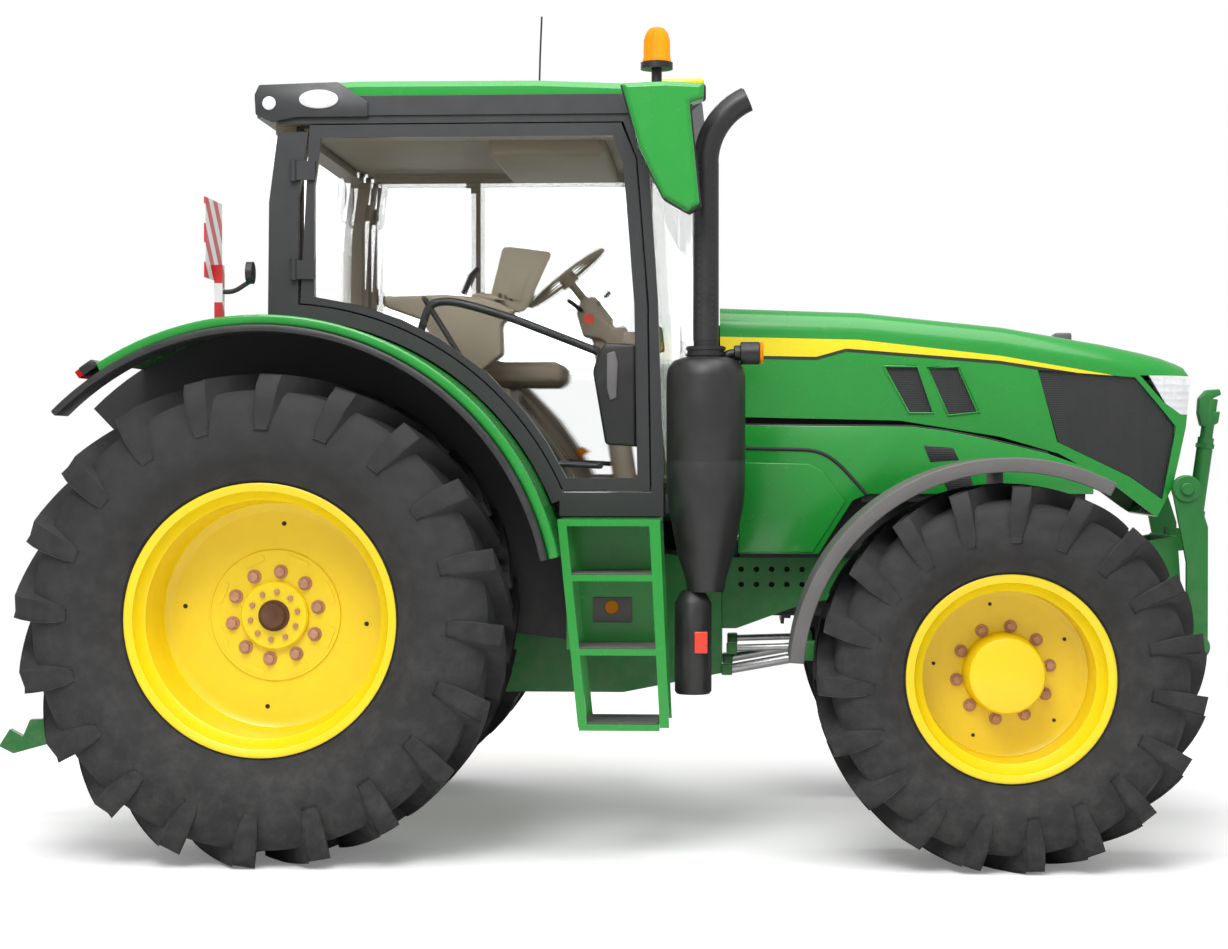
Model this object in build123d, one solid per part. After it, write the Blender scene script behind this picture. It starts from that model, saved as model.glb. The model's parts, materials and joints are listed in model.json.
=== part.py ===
from build123d import *
import os
from math import cos, pi, radians, sin, sqrt, tan

# Farm tractor with a front linkage, four-wheel drive and a closed cab.
# Millimetres. +X is forward, +Y is the tractor's left, +Z is up, the ground is Z = 0.
# Everything is drawn with X = 0 at the rear axle, and moved at the end by ORIGIN_SHIFT,
# which brings the origin to the middle of the whole tractor's box, on the ground.

# Driving dimensions: running gear
WHEELBASE = 2765.0
REAR_TIP_R = 915.0            # axle height of the rear wheels, and the reach of their lugs
REAR_TYRE_W = 690.0
REAR_TRACK_Y = 930.0          # middle of the rear tyre
REAR_FLANGE_R = 510.0
REAR_RIM_W = 550.0
FRONT_TIP_R = 709.0
FRONT_TYRE_W = 590.0
FRONT_TRACK_Y = 936.0
FRONT_FLANGE_R = 383.0
FRONT_RIM_W = 458.0
REAR_LUGS = 20                # lugs in each row, and flats round the tyre
FRONT_LUGS = 19
LUG_DEPTH = 52.0
LUG_WIDTH = 84.0
LUG_LEAN = 38.0               # degrees between a lug and the wheel's axis
LUG_START_Y = 12.0            # from the tyre's middle to a lug's inner end
SHOULDER_INSET = 20.0
BEAD_HEIGHT = 26.0            # from the rim's seat to its flange's edge
RIM_WALL = 9.0
RIM_SIDES = 36
HUB_SIDES = 20
DISC_WALL = 16.0
STUD_COUNT = 10
STUD_CIRCLE_R = 168.0
HUB_R = 130.0
PTO_R = 17.5
DRAWBAR_HOLE_R = 16.5
KINGPIN_Y = 700.0             # the steering axis of each front wheel

# Driving dimensions: body
FRAME_HALF_W = 225.0          # the front frame between the steered wheels
HOOD_HALF_W = 365.0
HOOD_REAR_X = 1690.0
HOOD_NOSE_X = 3585.0
CAB_HALF_W = 850.0
CAB_FLOOR_Z = 1330.0
FENDER_OUTER_Y = 1245.0
FENDER_EDGE_R = 1085.0        # radius of the rear fender's outer lip about the axle
SHEET = 12.0                  # body panels
CLEARANCE = 0.3               # between pieces that bear on each other and move
RUNNING_GAP = 6.0             # between pieces that pass each other

ORIGIN_SHIFT = -1238.0

REAR_AXLE_Z = REAR_TIP_R
FRONT_AXLE_Z = FRONT_TIP_R

os.makedirs("parts", exist_ok=True)


def prism(points, y_from, y_to):
    """An outline of (x, z) points, drawn out along Y."""
    wire = Polyline(*[(x, y_from, z) for x, z in points], close=True)
    return extrude(make_face(wire), amount=y_to - y_from, dir=(0, 1, 0))


def slab(points, z_from, z_to):
    """An outline of (x, y) points, drawn out along Z."""
    wire = Polyline(*[(x, y, z_from) for x, y in points], close=True)
    return extrude(make_face(wire), amount=z_to - z_from, dir=(0, 0, 1))


def block(x_from, x_to, y_from, y_to, z_from, z_to):
    """A plain box between two corners."""
    size = (x_to - x_from, y_to - y_from, z_to - z_from)
    middle = ((x_from + x_to) / 2, (y_from + y_to) / 2, (z_from + z_to) / 2)
    return Pos(*middle) * Box(*size)


def rod(start, end, radius):
    """A round bar between two points."""
    axis = Vector(*end) - Vector(*start)
    return extrude(Plane(origin=start, z_dir=axis) * Circle(radius), amount=axis.length)


def pipe(start, end, radius, bore):
    """A round tube between two points."""
    axis = Vector(*end) - Vector(*start)
    ring = Plane(origin=start, z_dir=axis) * (Circle(radius) - Circle(bore))
    return extrude(ring, amount=axis.length)


def ring_y(x, z, radius, bore, y_from, y_to):
    """A disc or ring about an axis along Y."""
    low, high = min(y_from, y_to), max(y_from, y_to)
    if bore > 0:
        return pipe((x, low, z), (x, high, z), radius, bore)
    return rod((x, low, z), (x, high, z), radius)


def mirrored(solid):
    """The same piece on the other side of the tractor."""
    return mirror(solid, about=Plane.XZ)


def pair(solid):
    """A piece and its mirror image."""
    return [solid, mirrored(solid)]


def polar(centre_x, centre_z, radius, angle):
    """A point of the XZ plane at a radius and an angle from +X towards +Z."""
    return (centre_x + radius * cos(radians(angle)), centre_z + radius * sin(radians(angle)))


def arc_band(centre_x, centre_z, r_in, r_out, a_from, a_to, y_from, y_to):
    """A curved sheet: the part of a ring about Y between two angles."""
    a_mid = (a_from + a_to) / 2
    outer = [polar(centre_x, centre_z, r_out, a) for a in (a_from, a_mid, a_to)]
    inner = [polar(centre_x, centre_z, r_in, a) for a in (a_to, a_mid, a_from)]
    at = lambda point: (point[0], y_from, point[1])
    edges = [ThreePointArc(*[at(p) for p in outer]),
             Line(at(outer[2]), at(inner[0])),
             ThreePointArc(*[at(p) for p in inner]),
             Line(at(inner[2]), at(outer[0]))]
    return extrude(make_face(edges), amount=y_to - y_from, dir=(0, 1, 0))


def save(name, *solids):
    """Write one named piece, moved to the tractor's own origin."""
    flat = []
    for item in solids:
        flat += list(item) if isinstance(item, (list, tuple)) else [item]
    shape = Compound(children=[s for item in flat for s in item.solids()])
    export_step(Pos(ORIGIN_SHIFT, 0, 0) * shape, f"parts/{name}.step")


def facet_stack(stations, sides):
    """A many-sided solid about the Y axis through (y, corner radius) stations."""
    faces = [Plane(origin=(0, y, 0), z_dir=(0, 1, 0), x_dir=(1, 0, 0))
             * RegularPolygon(r, sides) for y, r in stations]
    layers = [loft([low, high], ruled=True) for low, high in zip(faces, faces[1:])]
    return layers[0] + layers[1:] if len(layers) > 1 else layers[0]


def upright_stack(x, y, stations, sides):
    """A many-sided solid about an upright axis through (z, corner radius) stations."""
    faces = [Pos(x, y, z) * RegularPolygon(r, sides) for z, r in stations]
    layers = [loft([low, high], ruled=True) for low, high in zip(faces, faces[1:])]
    return layers[0] + layers[1:] if len(layers) > 1 else layers[0]


def lug(tip_r, width):
    """One bar of the tread at the top of the wheel, on the +Y half, its apex forward."""
    shoulder_y = width / 2 - SHOULDER_INSET - 1
    run = tan(radians(LUG_LEAN)) * (shoulder_y - LUG_START_Y)
    half_w = LUG_WIDTH / 2
    outline = [(run / 2 + half_w, LUG_START_Y + 0.3 * LUG_WIDTH),
               (-run / 2 + half_w, shoulder_y),
               (-run / 2 - half_w, shoulder_y),
               (run / 2 - half_w, LUG_START_Y)]
    top = sqrt(tip_r ** 2 - (run / 2 + half_w) ** 2)
    return slab(outline, tip_r - 2.2 * LUG_DEPTH, top)


def tyre(tip_r, width, flange_r, rim_w, sides):
    """A tractor tyre about the Y axis, with two rows of lugs, each half a pitch from the other."""
    crown_r = tip_r - LUG_DEPTH
    half = width / 2
    shoulder_y = half - SHOULDER_INSET
    bead_y = rim_w / 2 - RIM_WALL - CLEARANCE
    bulge_r = flange_r + 0.46 * (crown_r - flange_r)
    over_flange = (flange_r + 2) / cos(pi / sides)
    seat_r = (flange_r - BEAD_HEIGHT + CLEARANCE) / cos(pi / sides)
    body = facet_stack([(-half, bulge_r), (-shoulder_y, crown_r),
                        (shoulder_y, crown_r), (half, bulge_r)], sides)
    dish = facet_stack([(bead_y, over_flange), (half + 1, bulge_r + 1)], sides)
    bore = facet_stack([(-half - 1, seat_r), (half + 1, seat_r)], sides)
    body = body - dish - mirror(dish, about=Plane.XZ) - bore
    half_pitch = 180 / sides
    near = lug(tip_r, width)
    far = mirror(Rot(0, half_pitch, 0) * lug(tip_r, width), about=Plane.XZ)
    lugs = []
    for index in range(sides):
        lugs.append(Rot(0, 2 * index * half_pitch, 0) * near)
        lugs.append(Rot(0, 2 * index * half_pitch, 0) * far)
    return body + lugs


def rim(flange_r, rim_w, disc_y, disc_r):
    """A wheel rim about the Y axis, with its disc dished in from the outer (+Y) side."""
    half = rim_w / 2
    seat_r = flange_r - BEAD_HEIGHT
    well_r = seat_r - 30
    t = RIM_WALL
    back_y = disc_y - 2 * DISC_WALL
    barrel = facet_stack([(-half, seat_r), (-half + 5 * t, seat_r), (-half + 9 * t, well_r),
                          (half - 9 * t, well_r), (half - 5 * t, seat_r), (half, seat_r)],
                         RIM_SIDES)
    for y in (-half, half - t):
        barrel = barrel + facet_stack([(y, flange_r), (y + t, flange_r)], RIM_SIDES)
    dish = facet_stack([(disc_y - DISC_WALL, disc_r), (disc_y + 2 * DISC_WALL, well_r - t),
                        (half - 9 * t, well_r - t), (half - 5 * t, seat_r - t),
                        (half + 1, seat_r - t)], RIM_SIDES)
    cavity = facet_stack([(-half - 1, seat_r - t), (-half + 5 * t, seat_r - t),
                          (-half + 9 * t, well_r - t), (back_y, well_r - t)], RIM_SIDES)
    return barrel - dish - cavity


def studs(circle_r, y_from, y_to, radius):
    """The nuts on a wheel's disc."""
    step = 360 / STUD_COUNT
    nuts = [extrude(Plane(origin=(0, y_from, 0), z_dir=(0, 1, 0))
                    * Pos(*polar(0, 0, circle_r, index * step)) * RegularPolygon(radius, 6),
                    amount=y_to - y_from) for index in range(STUD_COUNT)]
    return nuts


def at_wheel(solid, side, axle_x, track_y, axle_z):
    """Move a wheel piece made for the left side to its place; side is +1 left or -1 right."""
    shape = solid if side > 0 else mirrored(solid)
    return Pos(axle_x, side * track_y, axle_z) * shape


# Rear wheels, with their hubs and bar axles
REAR_DISC_Y = -15.0           # the disc's outer face from the tyre's middle
REAR_DISC_R = 410.0
AXLE_BAR_R = 48.0
REAR_HOUSING_END_Y = 618.0
FRONT_DISC_Y = -29.0
FRONT_DISC_R = 300.0
FRONT_HUB_R = 146.0
KNUCKLE_FACE_Y = 792.0        # the outer face of the knuckle, where the hub starts
NUT_R = 17.0
NUT_HEIGHT = 22.0
SLOT_COUNT = 8


def rear_disc_slots():
    """The long hand holes round the rear disc's middle."""
    hole = block(-48, 48, REAR_DISC_Y - 60, REAR_DISC_Y + 20, 210, 234)
    return [Rot(0, (index + 0.5) * 360 / SLOT_COUNT, 0) * hole for index in range(SLOT_COUNT)]


def make_wheels():
    """Both tyres, and the rims with their hubs, of each axle."""
    rear_tyre = tyre(REAR_TIP_R, REAR_TYRE_W, REAR_FLANGE_R, REAR_RIM_W, REAR_LUGS)
    front_tyre = tyre(FRONT_TIP_R, FRONT_TYRE_W, FRONT_FLANGE_R, FRONT_RIM_W, FRONT_LUGS)
    rear_rim = make_rear_rim()
    front_rim = make_front_rim()
    for side, name in ((1, "left"), (-1, "right")):
        rear = (side, 0, REAR_TRACK_Y, REAR_AXLE_Z)
        front = (side, WHEELBASE, FRONT_TRACK_Y, FRONT_AXLE_Z)
        save(f"rear_tyre_{name}", at_wheel(rear_tyre, *rear))
        save(f"rear_rim_{name}", at_wheel(rear_rim, *rear))
        save(f"front_tyre_{name}", at_wheel(front_tyre, *front))
        save(f"front_rim_{name}", at_wheel(front_rim, *front))


def make_rear_rim():
    """A rear rim with its disc, its nuts and the hub clamped on the bar axle."""
    disc_face = REAR_DISC_Y - DISC_WALL
    back_y = REAR_DISC_Y - 2 * DISC_WALL
    inner_end = REAR_HOUSING_END_Y - REAR_TRACK_Y + CLEARANCE
    wheel = rim(REAR_FLANGE_R, REAR_RIM_W, REAR_DISC_Y, REAR_DISC_R)
    wheel = wheel - rear_disc_slots()
    clamp_r = STUD_CIRCLE_R + 30
    wheel = wheel + facet_stack([(back_y - 34, clamp_r), (back_y + 1, clamp_r)], HUB_SIDES)
    wheel = wheel + facet_stack([(back_y - 150, HUB_R), (REAR_DISC_Y + 24, HUB_R)], HUB_SIDES)
    wheel = wheel + ring_y(0, 0, AXLE_BAR_R, 0, inner_end, REAR_DISC_Y + 62)
    wheel = wheel + studs(STUD_CIRCLE_R, disc_face - 1, disc_face + NUT_HEIGHT, NUT_R)
    return wheel + studs(92, REAR_DISC_Y + 23, REAR_DISC_Y + 40, 11)


def make_front_rim():
    """A steered wheel's rim, with the round planetary hub standing out through its disc."""
    disc_face = FRONT_DISC_Y - DISC_WALL
    back_y = FRONT_DISC_Y - 2 * DISC_WALL
    inner_end = KNUCKLE_FACE_Y - FRONT_TRACK_Y + CLEARANCE
    wheel = rim(FRONT_FLANGE_R, FRONT_RIM_W, FRONT_DISC_Y, FRONT_DISC_R)
    hub_end = FRONT_DISC_Y + 128
    wheel = wheel + facet_stack([(inner_end, FRONT_HUB_R), (hub_end - 20, FRONT_HUB_R),
                                 (hub_end, FRONT_HUB_R - 20)], HUB_SIDES)
    clamp_r = STUD_CIRCLE_R + 34
    wheel = wheel + facet_stack([(back_y - 26, clamp_r), (back_y + 1, clamp_r)], HUB_SIDES)
    return wheel + studs(STUD_CIRCLE_R + 4, disc_face - 1, disc_face + NUT_HEIGHT, NUT_R - 2)


# Chassis
KNUCKLE_INNER_Y = 612.0
FRAME_TOP_Z = 1110.0
FRAME_BOTTOM_Z = 850.0
FRAME_REAR_X = 1700.0
FRAME_FRONT_X = 3330.0
FRAME_PLATE = 24.0
GEARBOX_FRONT_X = FRAME_REAR_X - CLEARANCE


def make_front_axle():
    """The driven front axle's beam, with a yoke at each end for the knuckle."""
    x, z = WHEELBASE, FRONT_AXLE_Z
    beam = block(x - 80, x + 80, -KNUCKLE_INNER_Y + 40, KNUCKLE_INNER_Y - 40, z - 62, z + 62)
    beam = chamfer(beam.edges().filter_by(Axis.Y), 24)
    bowl = upright_stack(x, 60, [(z - 128, 116), (z - 96, 150), (z + 96, 150), (z + 128, 116)],
                         HUB_SIDES)
    axle = beam + bowl
    axle = axle + block(x - 70, x + 70, -120, 120, z + 40, FRAME_BOTTOM_Z - CLEARANCE)
    axle = axle + block(x - 250, x + 250, -70, 70, z + 20, FRAME_BOTTOM_Z - 60)
    yoke = block(x - 60, x + 60, KNUCKLE_INNER_Y - 60, KINGPIN_Y - 50, z - 150, z + 150)
    arm = block(x - 60, x + 60, KNUCKLE_INNER_Y - 60, KINGPIN_Y + 55, z + 118, z + 150)
    foot = block(x - 60, x + 60, KNUCKLE_INNER_Y - 60, KINGPIN_Y + 55, z - 150, z - 118)
    for piece in (yoke, arm, foot):
        axle = axle + pair(piece)
    pin_hole = rod((x, KINGPIN_Y, z - 200), (x, KINGPIN_Y, z + 200), 24 + CLEARANCE)
    axle = axle - pair(pin_hole)
    save("front_axle", axle)


def make_knuckles():
    """The steered knuckles inside the yokes, on their king pins, with the steering arms."""
    x, z = WHEELBASE, FRONT_AXLE_Z
    core = rod((x, KINGPIN_Y, z - 118 + CLEARANCE), (x, KINGPIN_Y, z + 118 - CLEARANCE), 36)
    pin = rod((x, KINGPIN_Y, z - 150), (x, KINGPIN_Y, z + 172 + RUNNING_GAP), 24)
    neck = ring_y(x, z, 100, 0, KINGPIN_Y, KNUCKLE_FACE_Y)
    flange = ring_y(x, z, 112, 0, KNUCKLE_FACE_Y - 30, KNUCKLE_FACE_Y)
    arm = block(x - 196, x - 20, KINGPIN_Y + 2, KINGPIN_Y + 34, z - 24, z + 24)
    eye = rod((x - 196, KINGPIN_Y + 18, z - 30), (x - 196, KINGPIN_Y + 18, z + 30), 32)
    knuckle = core + pin + neck + flange + arm + eye
    save("knuckle_left", knuckle)
    save("knuckle_right", mirrored(knuckle))


def make_frame():
    """The narrow front frame: two side plates, cross members and the axle's saddle."""
    side = [(FRAME_REAR_X, 820), (1760, 820), (2060, 930), (2400, 960), (2560, FRAME_BOTTOM_Z),
            (2960, FRAME_BOTTOM_Z), (3080, 930), (FRAME_FRONT_X, 900),
            (FRAME_FRONT_X, 1180), (3200, FRAME_TOP_Z), (FRAME_REAR_X, FRAME_TOP_Z)]
    plate = prism(side, FRAME_HALF_W - FRAME_PLATE, FRAME_HALF_W)
    holes = []
    for column in range(5):
        for row in range(2):
            spot = (FRAME_REAR_X + 80 + column * 62, 0, 1000 + row * 62)
            holes.append(Pos(*spot) * facet_stack([(150, 12), (300, 12)], 6))
    plate = plate - holes
    frame = plate + mirrored(plate)
    inner = FRAME_HALF_W - FRAME_PLATE
    frame = frame + block(FRAME_REAR_X, FRAME_REAR_X + 60, -inner, inner, 840, FRAME_TOP_Z)
    frame = frame + block(2620, 2910, -inner, inner, FRAME_BOTTOM_Z, FRAME_BOTTOM_Z + 110)
    frame = frame + block(FRAME_FRONT_X - 60, FRAME_FRONT_X, -inner, inner, 920, FRAME_TOP_Z)
    save("front_frame", frame)


ENGINE_FRONT_X = 2720.0
ENGINE_TOP_Z = 1780.0


def make_engine():
    """The engine as one plain block with its sump, between the frame plates."""
    inner = FRAME_HALF_W - FRAME_PLATE - 1
    block_up = block(1770, ENGINE_FRONT_X, -270, 270, FRAME_TOP_Z + CLEARANCE, ENGINE_TOP_Z)
    sump = block(1770, 2500, -inner + 20, inner - 20, 870, FRAME_TOP_Z + CLEARANCE)
    engine = chamfer(block_up.edges().filter_by(Axis.X), 30) + sump
    core = block(3020, 3110, -300, 300, FRAME_TOP_Z + 90, 1800)
    feet = block(3020, 3110, -FRAME_HALF_W, FRAME_HALF_W, FRAME_TOP_Z + CLEARANCE,
                 FRAME_TOP_Z + 90)
    save("engine_block", engine, core + feet)


def make_transmission():
    """The gearbox, the rear axle's housing and its trumpets, in one cast piece."""
    x0, x1 = -330, GEARBOX_FRONT_X
    box = prism([(x0, 600), (300, 600), (700, 560), (1300, 560), (x1, 640), (x1, 1090),
                 (1300, 1150), (330, 1230), (x0, 1230)], -260, 260)
    centre = Pos(0, 0, REAR_AXLE_Z) * facet_stack([(-326, 300), (326, 300)], 24)
    trumpet = ring_y(0, REAR_AXLE_Z, 130, 0, 300, REAR_HOUSING_END_Y)
    collar = ring_y(0, REAR_AXLE_Z, 165, 0, REAR_HOUSING_END_Y - 60, REAR_HOUSING_END_Y)
    case = box + centre
    for piece in (trumpet, collar):
        case = case + pair(piece)
    case = case - ring_y(*LIFT_PIVOT, LIFT_SHAFT_R + CLEARANCE, 0, -400, 400)
    for y in (262, 340):
        ear = prism([(-90, 700), (-40, 500), (-210, 500), (-230, 700)], y, y + 20)
        case = case + pair(ear)
    case = case + pair(block(-230, -40, 240, 360, 660, 720))
    case = case - ring_y(*LINK_PIVOT, LINK_PIN_R + CLEARANCE, 0, -400, 400)
    save("transmission", case)


# Hood
HOOD_EDGE = [(3399, 1308), (3242, 1427), (3045, 1534), (2808, 1602), (2412, 1666), (1700, 1682)]
HOOD_CROWN_R = 90.0
GRILLE_SIDE = [(2962, 1868), (3350, 1838), (3520, 1640), (3461, 1350), (3330, 1440), (3040, 1580)]
VENT_FRONT = [(2520, 1880), (2640, 1885), (2720, 1700), (2600, 1690)]
VENT_REAR = [(2350, 1890), (2480, 1888), (2545, 1700), (2450, 1700)]
PANEL_OUTLINE = [(1760, 1640), (2200, 1630), (2330, 1520), (2230, 1360), (2130, 1135),
                 (1760, 1120)]


HOOD_STATIONS = [(1690, 2133, 365), (2261, 2112, 364), (2824, 2052, 360), (3225, 1982, 352),
                 (3380, 1949, 338), (3464, 1928, 322), (3535, 1904, 294), (3600, 1878, 250)]
CROWN_STEPS = 4


def hood_section(x, top_z, half, radius):
    """One arched cross-section of the hood, from its low edge over the crown."""
    low = 1140
    rise = 10
    side = [(half, low)]
    for step in range(CROWN_STEPS + 1):
        turn = radians(90 * step / CROWN_STEPS)
        side.append((half - radius + radius * cos(turn),
                     top_z - rise - radius + radius * sin(turn)))
    outline = side + [(0, top_z)] + [(-y, z) for y, z in reversed(side)]
    return make_face(Polyline(*[(x, y, z) for y, z in outline], close=True))


def hood_volume(inset):
    """The hood's outer form, or the room inside it when it is drawn in by an inset."""
    sections = []
    for x, top_z, half in HOOD_STATIONS:
        sections.append(hood_section(x, top_z - inset, half - inset, HOOD_CROWN_R - inset))
    form = loft(sections, ruled=True)
    nose = [(HOOD_NOSE_X - inset, 1836), (HOOD_NOSE_X - 22 - inset, 1640),
            (HOOD_NOSE_X - 80 - inset, 1400), (3440 - inset, 1280)]
    top = [(HOOD_REAR_X, 2300), (HOOD_NOSE_X - 20 - inset, 2300), (HOOD_NOSE_X - 20 - inset, 1870)]
    low = [(3300, 1140), (HOOD_REAR_X, 1140)] if inset else HOOD_EDGE
    return form & prism(top + nose + low, -500, 500)


def window_screen(outline, y_from, y_to):
    """A mesh panel behind a window of the hood's side wall, following the wall."""
    layer = hood_volume(SHEET + CLEARANCE) - hood_volume(SHEET + 8)
    grown = prism(outline, y_from, y_to)
    return layer & grown


HINGE = (1720.0, 2040.0)
HINGE_R = 12.0
LAMP_OUTLINE = [(3370, 1846), (3640, 1846), (3640, 1690), (3540, 1690), (3470, 1735)]


def make_hood():
    """The one-piece hood: side walls, crowned top and nose, open below and behind."""
    shell = hood_volume(0) - hood_volume(SHEET)
    far = HOOD_HALF_W + 20
    lamp_tool = prism(LAMP_OUTLINE, 150, far)
    for window in (GRILLE_SIDE, VENT_FRONT, VENT_REAR):
        cut = prism(window, 290, far)
        shell = shell - cut - mirrored(cut)
    nose_cut = block(3380, 3700, -140, 140, 1420, 1800)
    hood = shell - nose_cut - lamp_tool - mirrored(lamp_tool)
    ear = prism([(1696, 2128), (1800, 2122), (1740, 2025), (1706, 2020)], 124, 140)
    ear = ear & hood_volume(2)
    hood = hood + pair(ear + ring_y(*HINGE, HINGE_R, 0, 96, 140))
    save("hood", hood)
    screens = []
    for window in (GRILLE_SIDE, VENT_FRONT, VENT_REAR):
        lower = [(x + (6 if x > 3000 else 0), z) for x, z in window]
        screens += pair(window_screen(lower, 280, far))
    layer = hood_volume(SHEET + CLEARANCE) - hood_volume(SHEET + 8)
    screens.append(layer & block(3360, 3700, -146, 146, 1414, 1806))
    save("hood_screens", screens)
    lens = (hood_volume(1) - hood_volume(34)) & prism(LAMP_OUTLINE, 150 + CLEARANCE, far)
    lens = lens & prism([(3374, 1900), (3640, 1900), (3640, 1690.4), (3540, 1690.4),
                         (3473, 1735)], 0, far)
    save("headlights", pair(lens))


def make_side_panels():
    """The fixed green panels under the hood's rear half, on stays from the engine."""
    y = HOOD_HALF_W + RUNNING_GAP
    panel = prism(PANEL_OUTLINE, y, y + SHEET)
    stay = block(1780, 1830, 270 + CLEARANCE, y, 1300, 1350)
    low_stay = block(2080, 2130, 270 + CLEARANCE, y, 1200, 1250)
    save("side_panels", pair(panel + stay + low_stay))


def make_cowl():
    """The firewall between hood and cab, with the ears that carry the hood's hinge."""
    wall = block(1640, 1676, -HOOD_HALF_W + 20, HOOD_HALF_W - 20, 1100, 2010)
    foot = block(1676, 1769, -200, 200, FRAME_TOP_Z + CLEARANCE, 1180)
    ear = prism([(1676, 1900), (1676, 2060), (1712, 2066), (1742, 2044), (1730, 2000)], 98, 120)
    ear = ear - ring_y(*HINGE, HINGE_R + CLEARANCE, 0, 90, 130)
    save("cowl", wall + foot + pair(ear))


# Cab
WHEEL_RAKE = 52.0
STEERING_HUB = (1050.0, 0.0, 2270.0)
FLOOR_THICK = 40.0
CAB_INNER_Y = 580.0
POST_DEPTH = 60.0
DOOR_THICK = 40.0
FENDER_R = 1132.0             # outside of the green fender, about the rear axle
SEAT_ARC_R = 1140.0           # the cab's lower edge over the fender
SILL_ARC_R = 1194.0           # top of the sill band along the fender
DOOR_ARC_R = 1200.0           # the door's lower edge: it swings clear of the fender
PANE_ARC_R = 1230.0
SHELF_Z = 2062.0              # top of the fender's crown, where the cab's rear wall stands
C_POST = [(-40, 2062), (-35, 2500), (0, 2770), (118, 2770), (78, 2510), (78, 2062)]
A_POST = [(1330, 2801), (1400, 2801), (1424, 2691), (1462, 2119), (1484, 1384), (1438, 1384),
          (1428, 2110), (1384, 2660)]
BAR_X = 548.0                 # the upright bar across the left door's glass
BAR_W = 64.0
DOOR_FOOT_Z = 1391.0
DOOR_FRONT = [(1432, DOOR_FOOT_Z), (1420, 2110), (1376, 2655), (1322, 2796)]
PANE_FRONT = [(1384, 1440), (1372, 2105), (1330, 2640), (1290, 2748)]
PANE_ARC_X = (1112, 1040, 960, 811, 624, 480, 320)


def on_arc(radius, x):
    """The height of an arc about the rear axle at a given X."""
    return REAR_AXLE_Z + sqrt(radius ** 2 - x ** 2)


def arc_x(radius, z):
    """Where an arc about the rear axle is at a given height, ahead of the axle."""
    return sqrt(radius ** 2 - (z - REAR_AXLE_Z) ** 2)


def arched_outline(radius, rear_x, top, y_from, y_to):
    """A side outline whose lower edge follows the fender; top runs from the front foot back."""
    foot_z = top[0][1]
    foot = (arc_x(radius, foot_z), foot_z)
    heel = (rear_x, on_arc(radius, rear_x))
    mid_x = (foot[0] + rear_x) / 2
    mid = (mid_x, on_arc(radius, mid_x))
    at = lambda point: (point[0], y_from, point[1])
    rest = Polyline(at(foot), *[at(q) for q in top], at(heel))
    arc = ThreePointArc(at(heel), at(mid), at(foot))
    return extrude(make_face([rest, arc]), amount=y_to - y_from, dir=(0, 1, 0))


def make_cab():
    """The cab's floor, lower walls, posts and roof rails, with windows cut through."""
    inner, half = CAB_INNER_Y, CAB_HALF_W - POST_DEPTH
    floor_low = CAB_FLOOR_Z - FLOOR_THICK
    frame = block(500, 1512, -inner, inner, floor_low, CAB_FLOOR_Z)
    frame = frame + block(-40, 540, -inner, inner, 1660, 1700)
    frame = frame + block(500, 540, -inner, inner, floor_low, 1700)
    frame = frame + block(-40, 0, -inner, inner, 1660, 2100)
    frame = frame + block(-40, 0, -half - 1, half + 1, SHELF_Z, 2100)
    wall = prism([(1484, floor_low), (1484, 1384), (1040, 1384), (820, 1700), (560, 1930),
                  (300, 2062), (-40, 2062), (-40, 1660), (500, 1660), (500, floor_low)],
                 inner - SHEET, inner + 2)
    sill = block(1086, 1484, inner, CAB_HALF_W, floor_low + 4, 1384)
    c_post = prism(C_POST, half, CAB_HALF_W)
    ledge = block(-40, 78, inner, CAB_HALF_W, SHELF_Z, SHELF_Z + 12)
    a_post = prism(A_POST, half, CAB_HALF_W)
    rail = block(0, 1400, half, CAB_HALF_W, 2801, 2830)
    for piece in (wall, sill, c_post, ledge, a_post, rail):
        frame = frame + pair(piece)
    frame = frame + block(-20, 60, -half, half, 2768, 2830)
    frame = frame + block(1340, 1400, -half, half, 2760, 2830)
    frame = frame + slab([(1484, -half), (1560, -560), (1590, 0), (1560, 560), (1484, half),
                          (1450, half), (1450, -half)], floor_low, 1440)
    band = arc_band(0, REAR_AXLE_Z, SEAT_ARC_R, SILL_ARC_R, 22, 87, half, CAB_HALF_W)
    shelf = arc_band(0, REAR_AXLE_Z, SEAT_ARC_R, SEAT_ARC_R + 8, 22, 87, inner - 2, half + 1)
    frame = frame + pair(band + shelf)
    save("cab_frame", frame)


def make_windows():
    """Windshield and rear window, set in the frame."""
    glass = 6
    plan = [(1440, -788), (1540, -560), (1580, 0), (1540, 560), (1440, 788)]
    back = [(x - glass, y) for x, y in reversed(plan)]
    shield = slab(plan + back, 1441, 2759)
    rear = block(-34, -34 + glass, -788, 788, 2101, 2767)
    save("cab_windows", shield, rear)


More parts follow.
